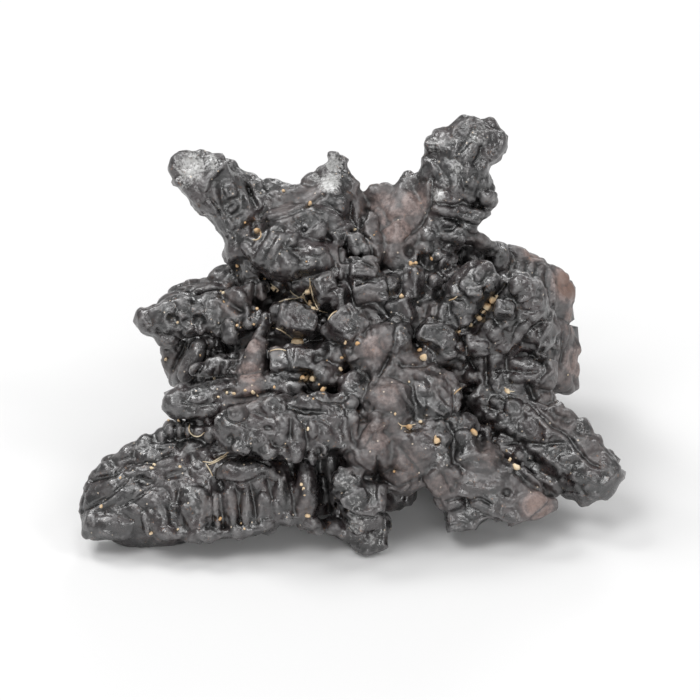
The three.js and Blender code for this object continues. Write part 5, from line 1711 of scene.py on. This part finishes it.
@dataclass(frozen=True)
class DryFinish:
    """A dry, tan finish that drifts between two colours, for the grains and the threads."""

    name: str
    pale: Triple
    deep: Triple
    drift: Speckle = Speckle(0.45, 1.0)
    drift_span: Span = Span(0.35, 0.65)
    grit: Speckle = Speckle(5.0, 3.0)
    rough_span: Span = Span(0.3, 0.7, 0.5, 0.8)
    grit_height: float = 0.04

    def material(self) -> bpy.types.Material:
        """Returns the grains' or threads' material."""
        graph = Graph.new(self.name)
        drift = graph.ranged(graph.speckle(self.drift), self.drift_span)
        grit = graph.speckle(self.grit)
        graph.join(graph.mixed(drift, self.deep, self.pale), graph.shader.inputs["Base Color"])
        graph.join(graph.ranged(grit, self.rough_span), graph.shader.inputs["Roughness"])
        graph.bumped(((grit, self.grit_height),))
        return graph.material


DRY_SAND = DryFinish("dry_sand", pale=(0.86, 0.71, 0.49), deep=(0.62, 0.38, 0.18))
DRIED_PLANT = DryFinish("dried_plant", pale=(0.78, 0.68, 0.50), deep=(0.52, 0.36, 0.20))


@dataclass(frozen=True)
class Lamp:
    """A square soft light: where it hangs and how wide it is, in millimetres, and its power in watts."""

    name: str
    at: Triple
    size: float
    power: float


@dataclass
class Studio:
    """The pale floor, the soft lights and the camera."""

    floor_half: float = 3000.0
    floor_colour: Triple = (0.79, 0.79, 0.79)
    floor_roughness: float = 0.9
    floor_specular: float = 0.0
    sky_strength: float = 0.38
    lit_place: Triple = (0, 0, 18)
    lamps: tuple[Lamp, ...] = (
        Lamp("window", (-350.0, 250.0, 600.0), 240.0, 1.9),
        Lamp("softbox", (-260.0, -260.0, 620.0), 320.0, 1.7),
        Lamp("ceiling", (100.0, 100.0, 800.0), 260.0, 0.9),
        Lamp("back_lamp", (140.0, 620.0, 330.0), 220.0, 1.0),
        Lamp("right_lamp", (450.0, -150.0, 500.0), 200.0, 0.75),
        Lamp("front_lamp", (150.0, -640.0, 260.0), 240.0, 1.0),
    )

    def build(self) -> None:
        """Builds the floor, the lights and the camera."""
        self._floor()
        self._sky()
        for lamp in self.lamps:
            self._light(lamp)
        self._camera()

    def _floor(self) -> None:
        """Lays the floor under the stone."""
        bpy.ops.object.select_all(action="DESELECT")
        bpy.ops.mesh.primitive_plane_add(size=2 * self.floor_half * MM, location=(0, 0, 0))
        floor = bpy.context.object
        floor.name = "floor"
        graph = Graph.new("pale_floor")
        graph.shader.inputs["Base Color"].default_value = (*self.floor_colour, 1.0)
        graph.shader.inputs["Roughness"].default_value = self.floor_roughness
        graph.shader.inputs["Specular IOR Level"].default_value = self.floor_specular
        floor.data.materials.append(graph.material)

    def _sky(self) -> None:
        """Fills the room with even white light."""
        world = bpy.data.worlds.new("white_room")
        world.use_nodes = True
        world.node_tree.nodes["Background"].inputs["Color"].default_value = (1, 1, 1, 1)
        world.node_tree.nodes["Background"].inputs["Strength"].default_value = self.sky_strength
        bpy.context.scene.world = world
        bpy.context.scene.view_settings.view_transform = "Standard"

    def _light(self, lamp: Lamp) -> None:
        """Hangs a lamp that faces the stone."""
        data = bpy.data.lights.new(lamp.name, "AREA")
        data.size = lamp.size * MM
        data.energy = lamp.power
        hung = bpy.data.objects.new(lamp.name, data)
        hung.location = Vector(lamp.at) * MM
        way = Vector(self.lit_place) * MM - hung.location
        hung.rotation_euler = way.to_track_quat("-Z", "Y").to_euler()
        bpy.context.scene.collection.objects.link(hung)

    def _camera(self) -> None:
        """Puts the camera where the viewer's eye is."""
        data = bpy.data.cameras.new("viewer")
        data.sensor_width = SENSOR_WIDTH
        data.lens = SENSOR_WIDTH * CAMERA_DISTANCE / PICTURE_WIDTH
        camera = bpy.data.objects.new("viewer", data)
        camera.location = Vector(FACE.eye().tolist()) * MM
        camera.rotation_euler = (FACE.lean, 0, 0)
        bpy.context.scene.collection.objects.link(camera)
        bpy.context.scene.camera = camera


def main() -> None:
    """Builds the stone and its setting, and notes each piece."""
    logging.basicConfig(level=logging.INFO, format="%(name)s: %(message)s")
    noise.seed_set(NOISE_SEED)
    stone = StoneSkin().build()
    stone.data.materials.append(StoneFinish().material())
    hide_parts("stone")
    crumbs = Crumbs(Net.of(stone).tree())
    sand = crumbs.grains()
    sand.data.materials.append(DRY_SAND.material())
    threads = crumbs.threads()
    threads.data.materials.clear()
    threads.data.materials.append(DRIED_PLANT.material())
    for piece in (stone, sand, threads):
        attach(piece, "root")
        log.info("%s: %d triangles", piece.name, len(piece.data.polygons))
    Studio().build()


if __name__ == "__main__":
    main()
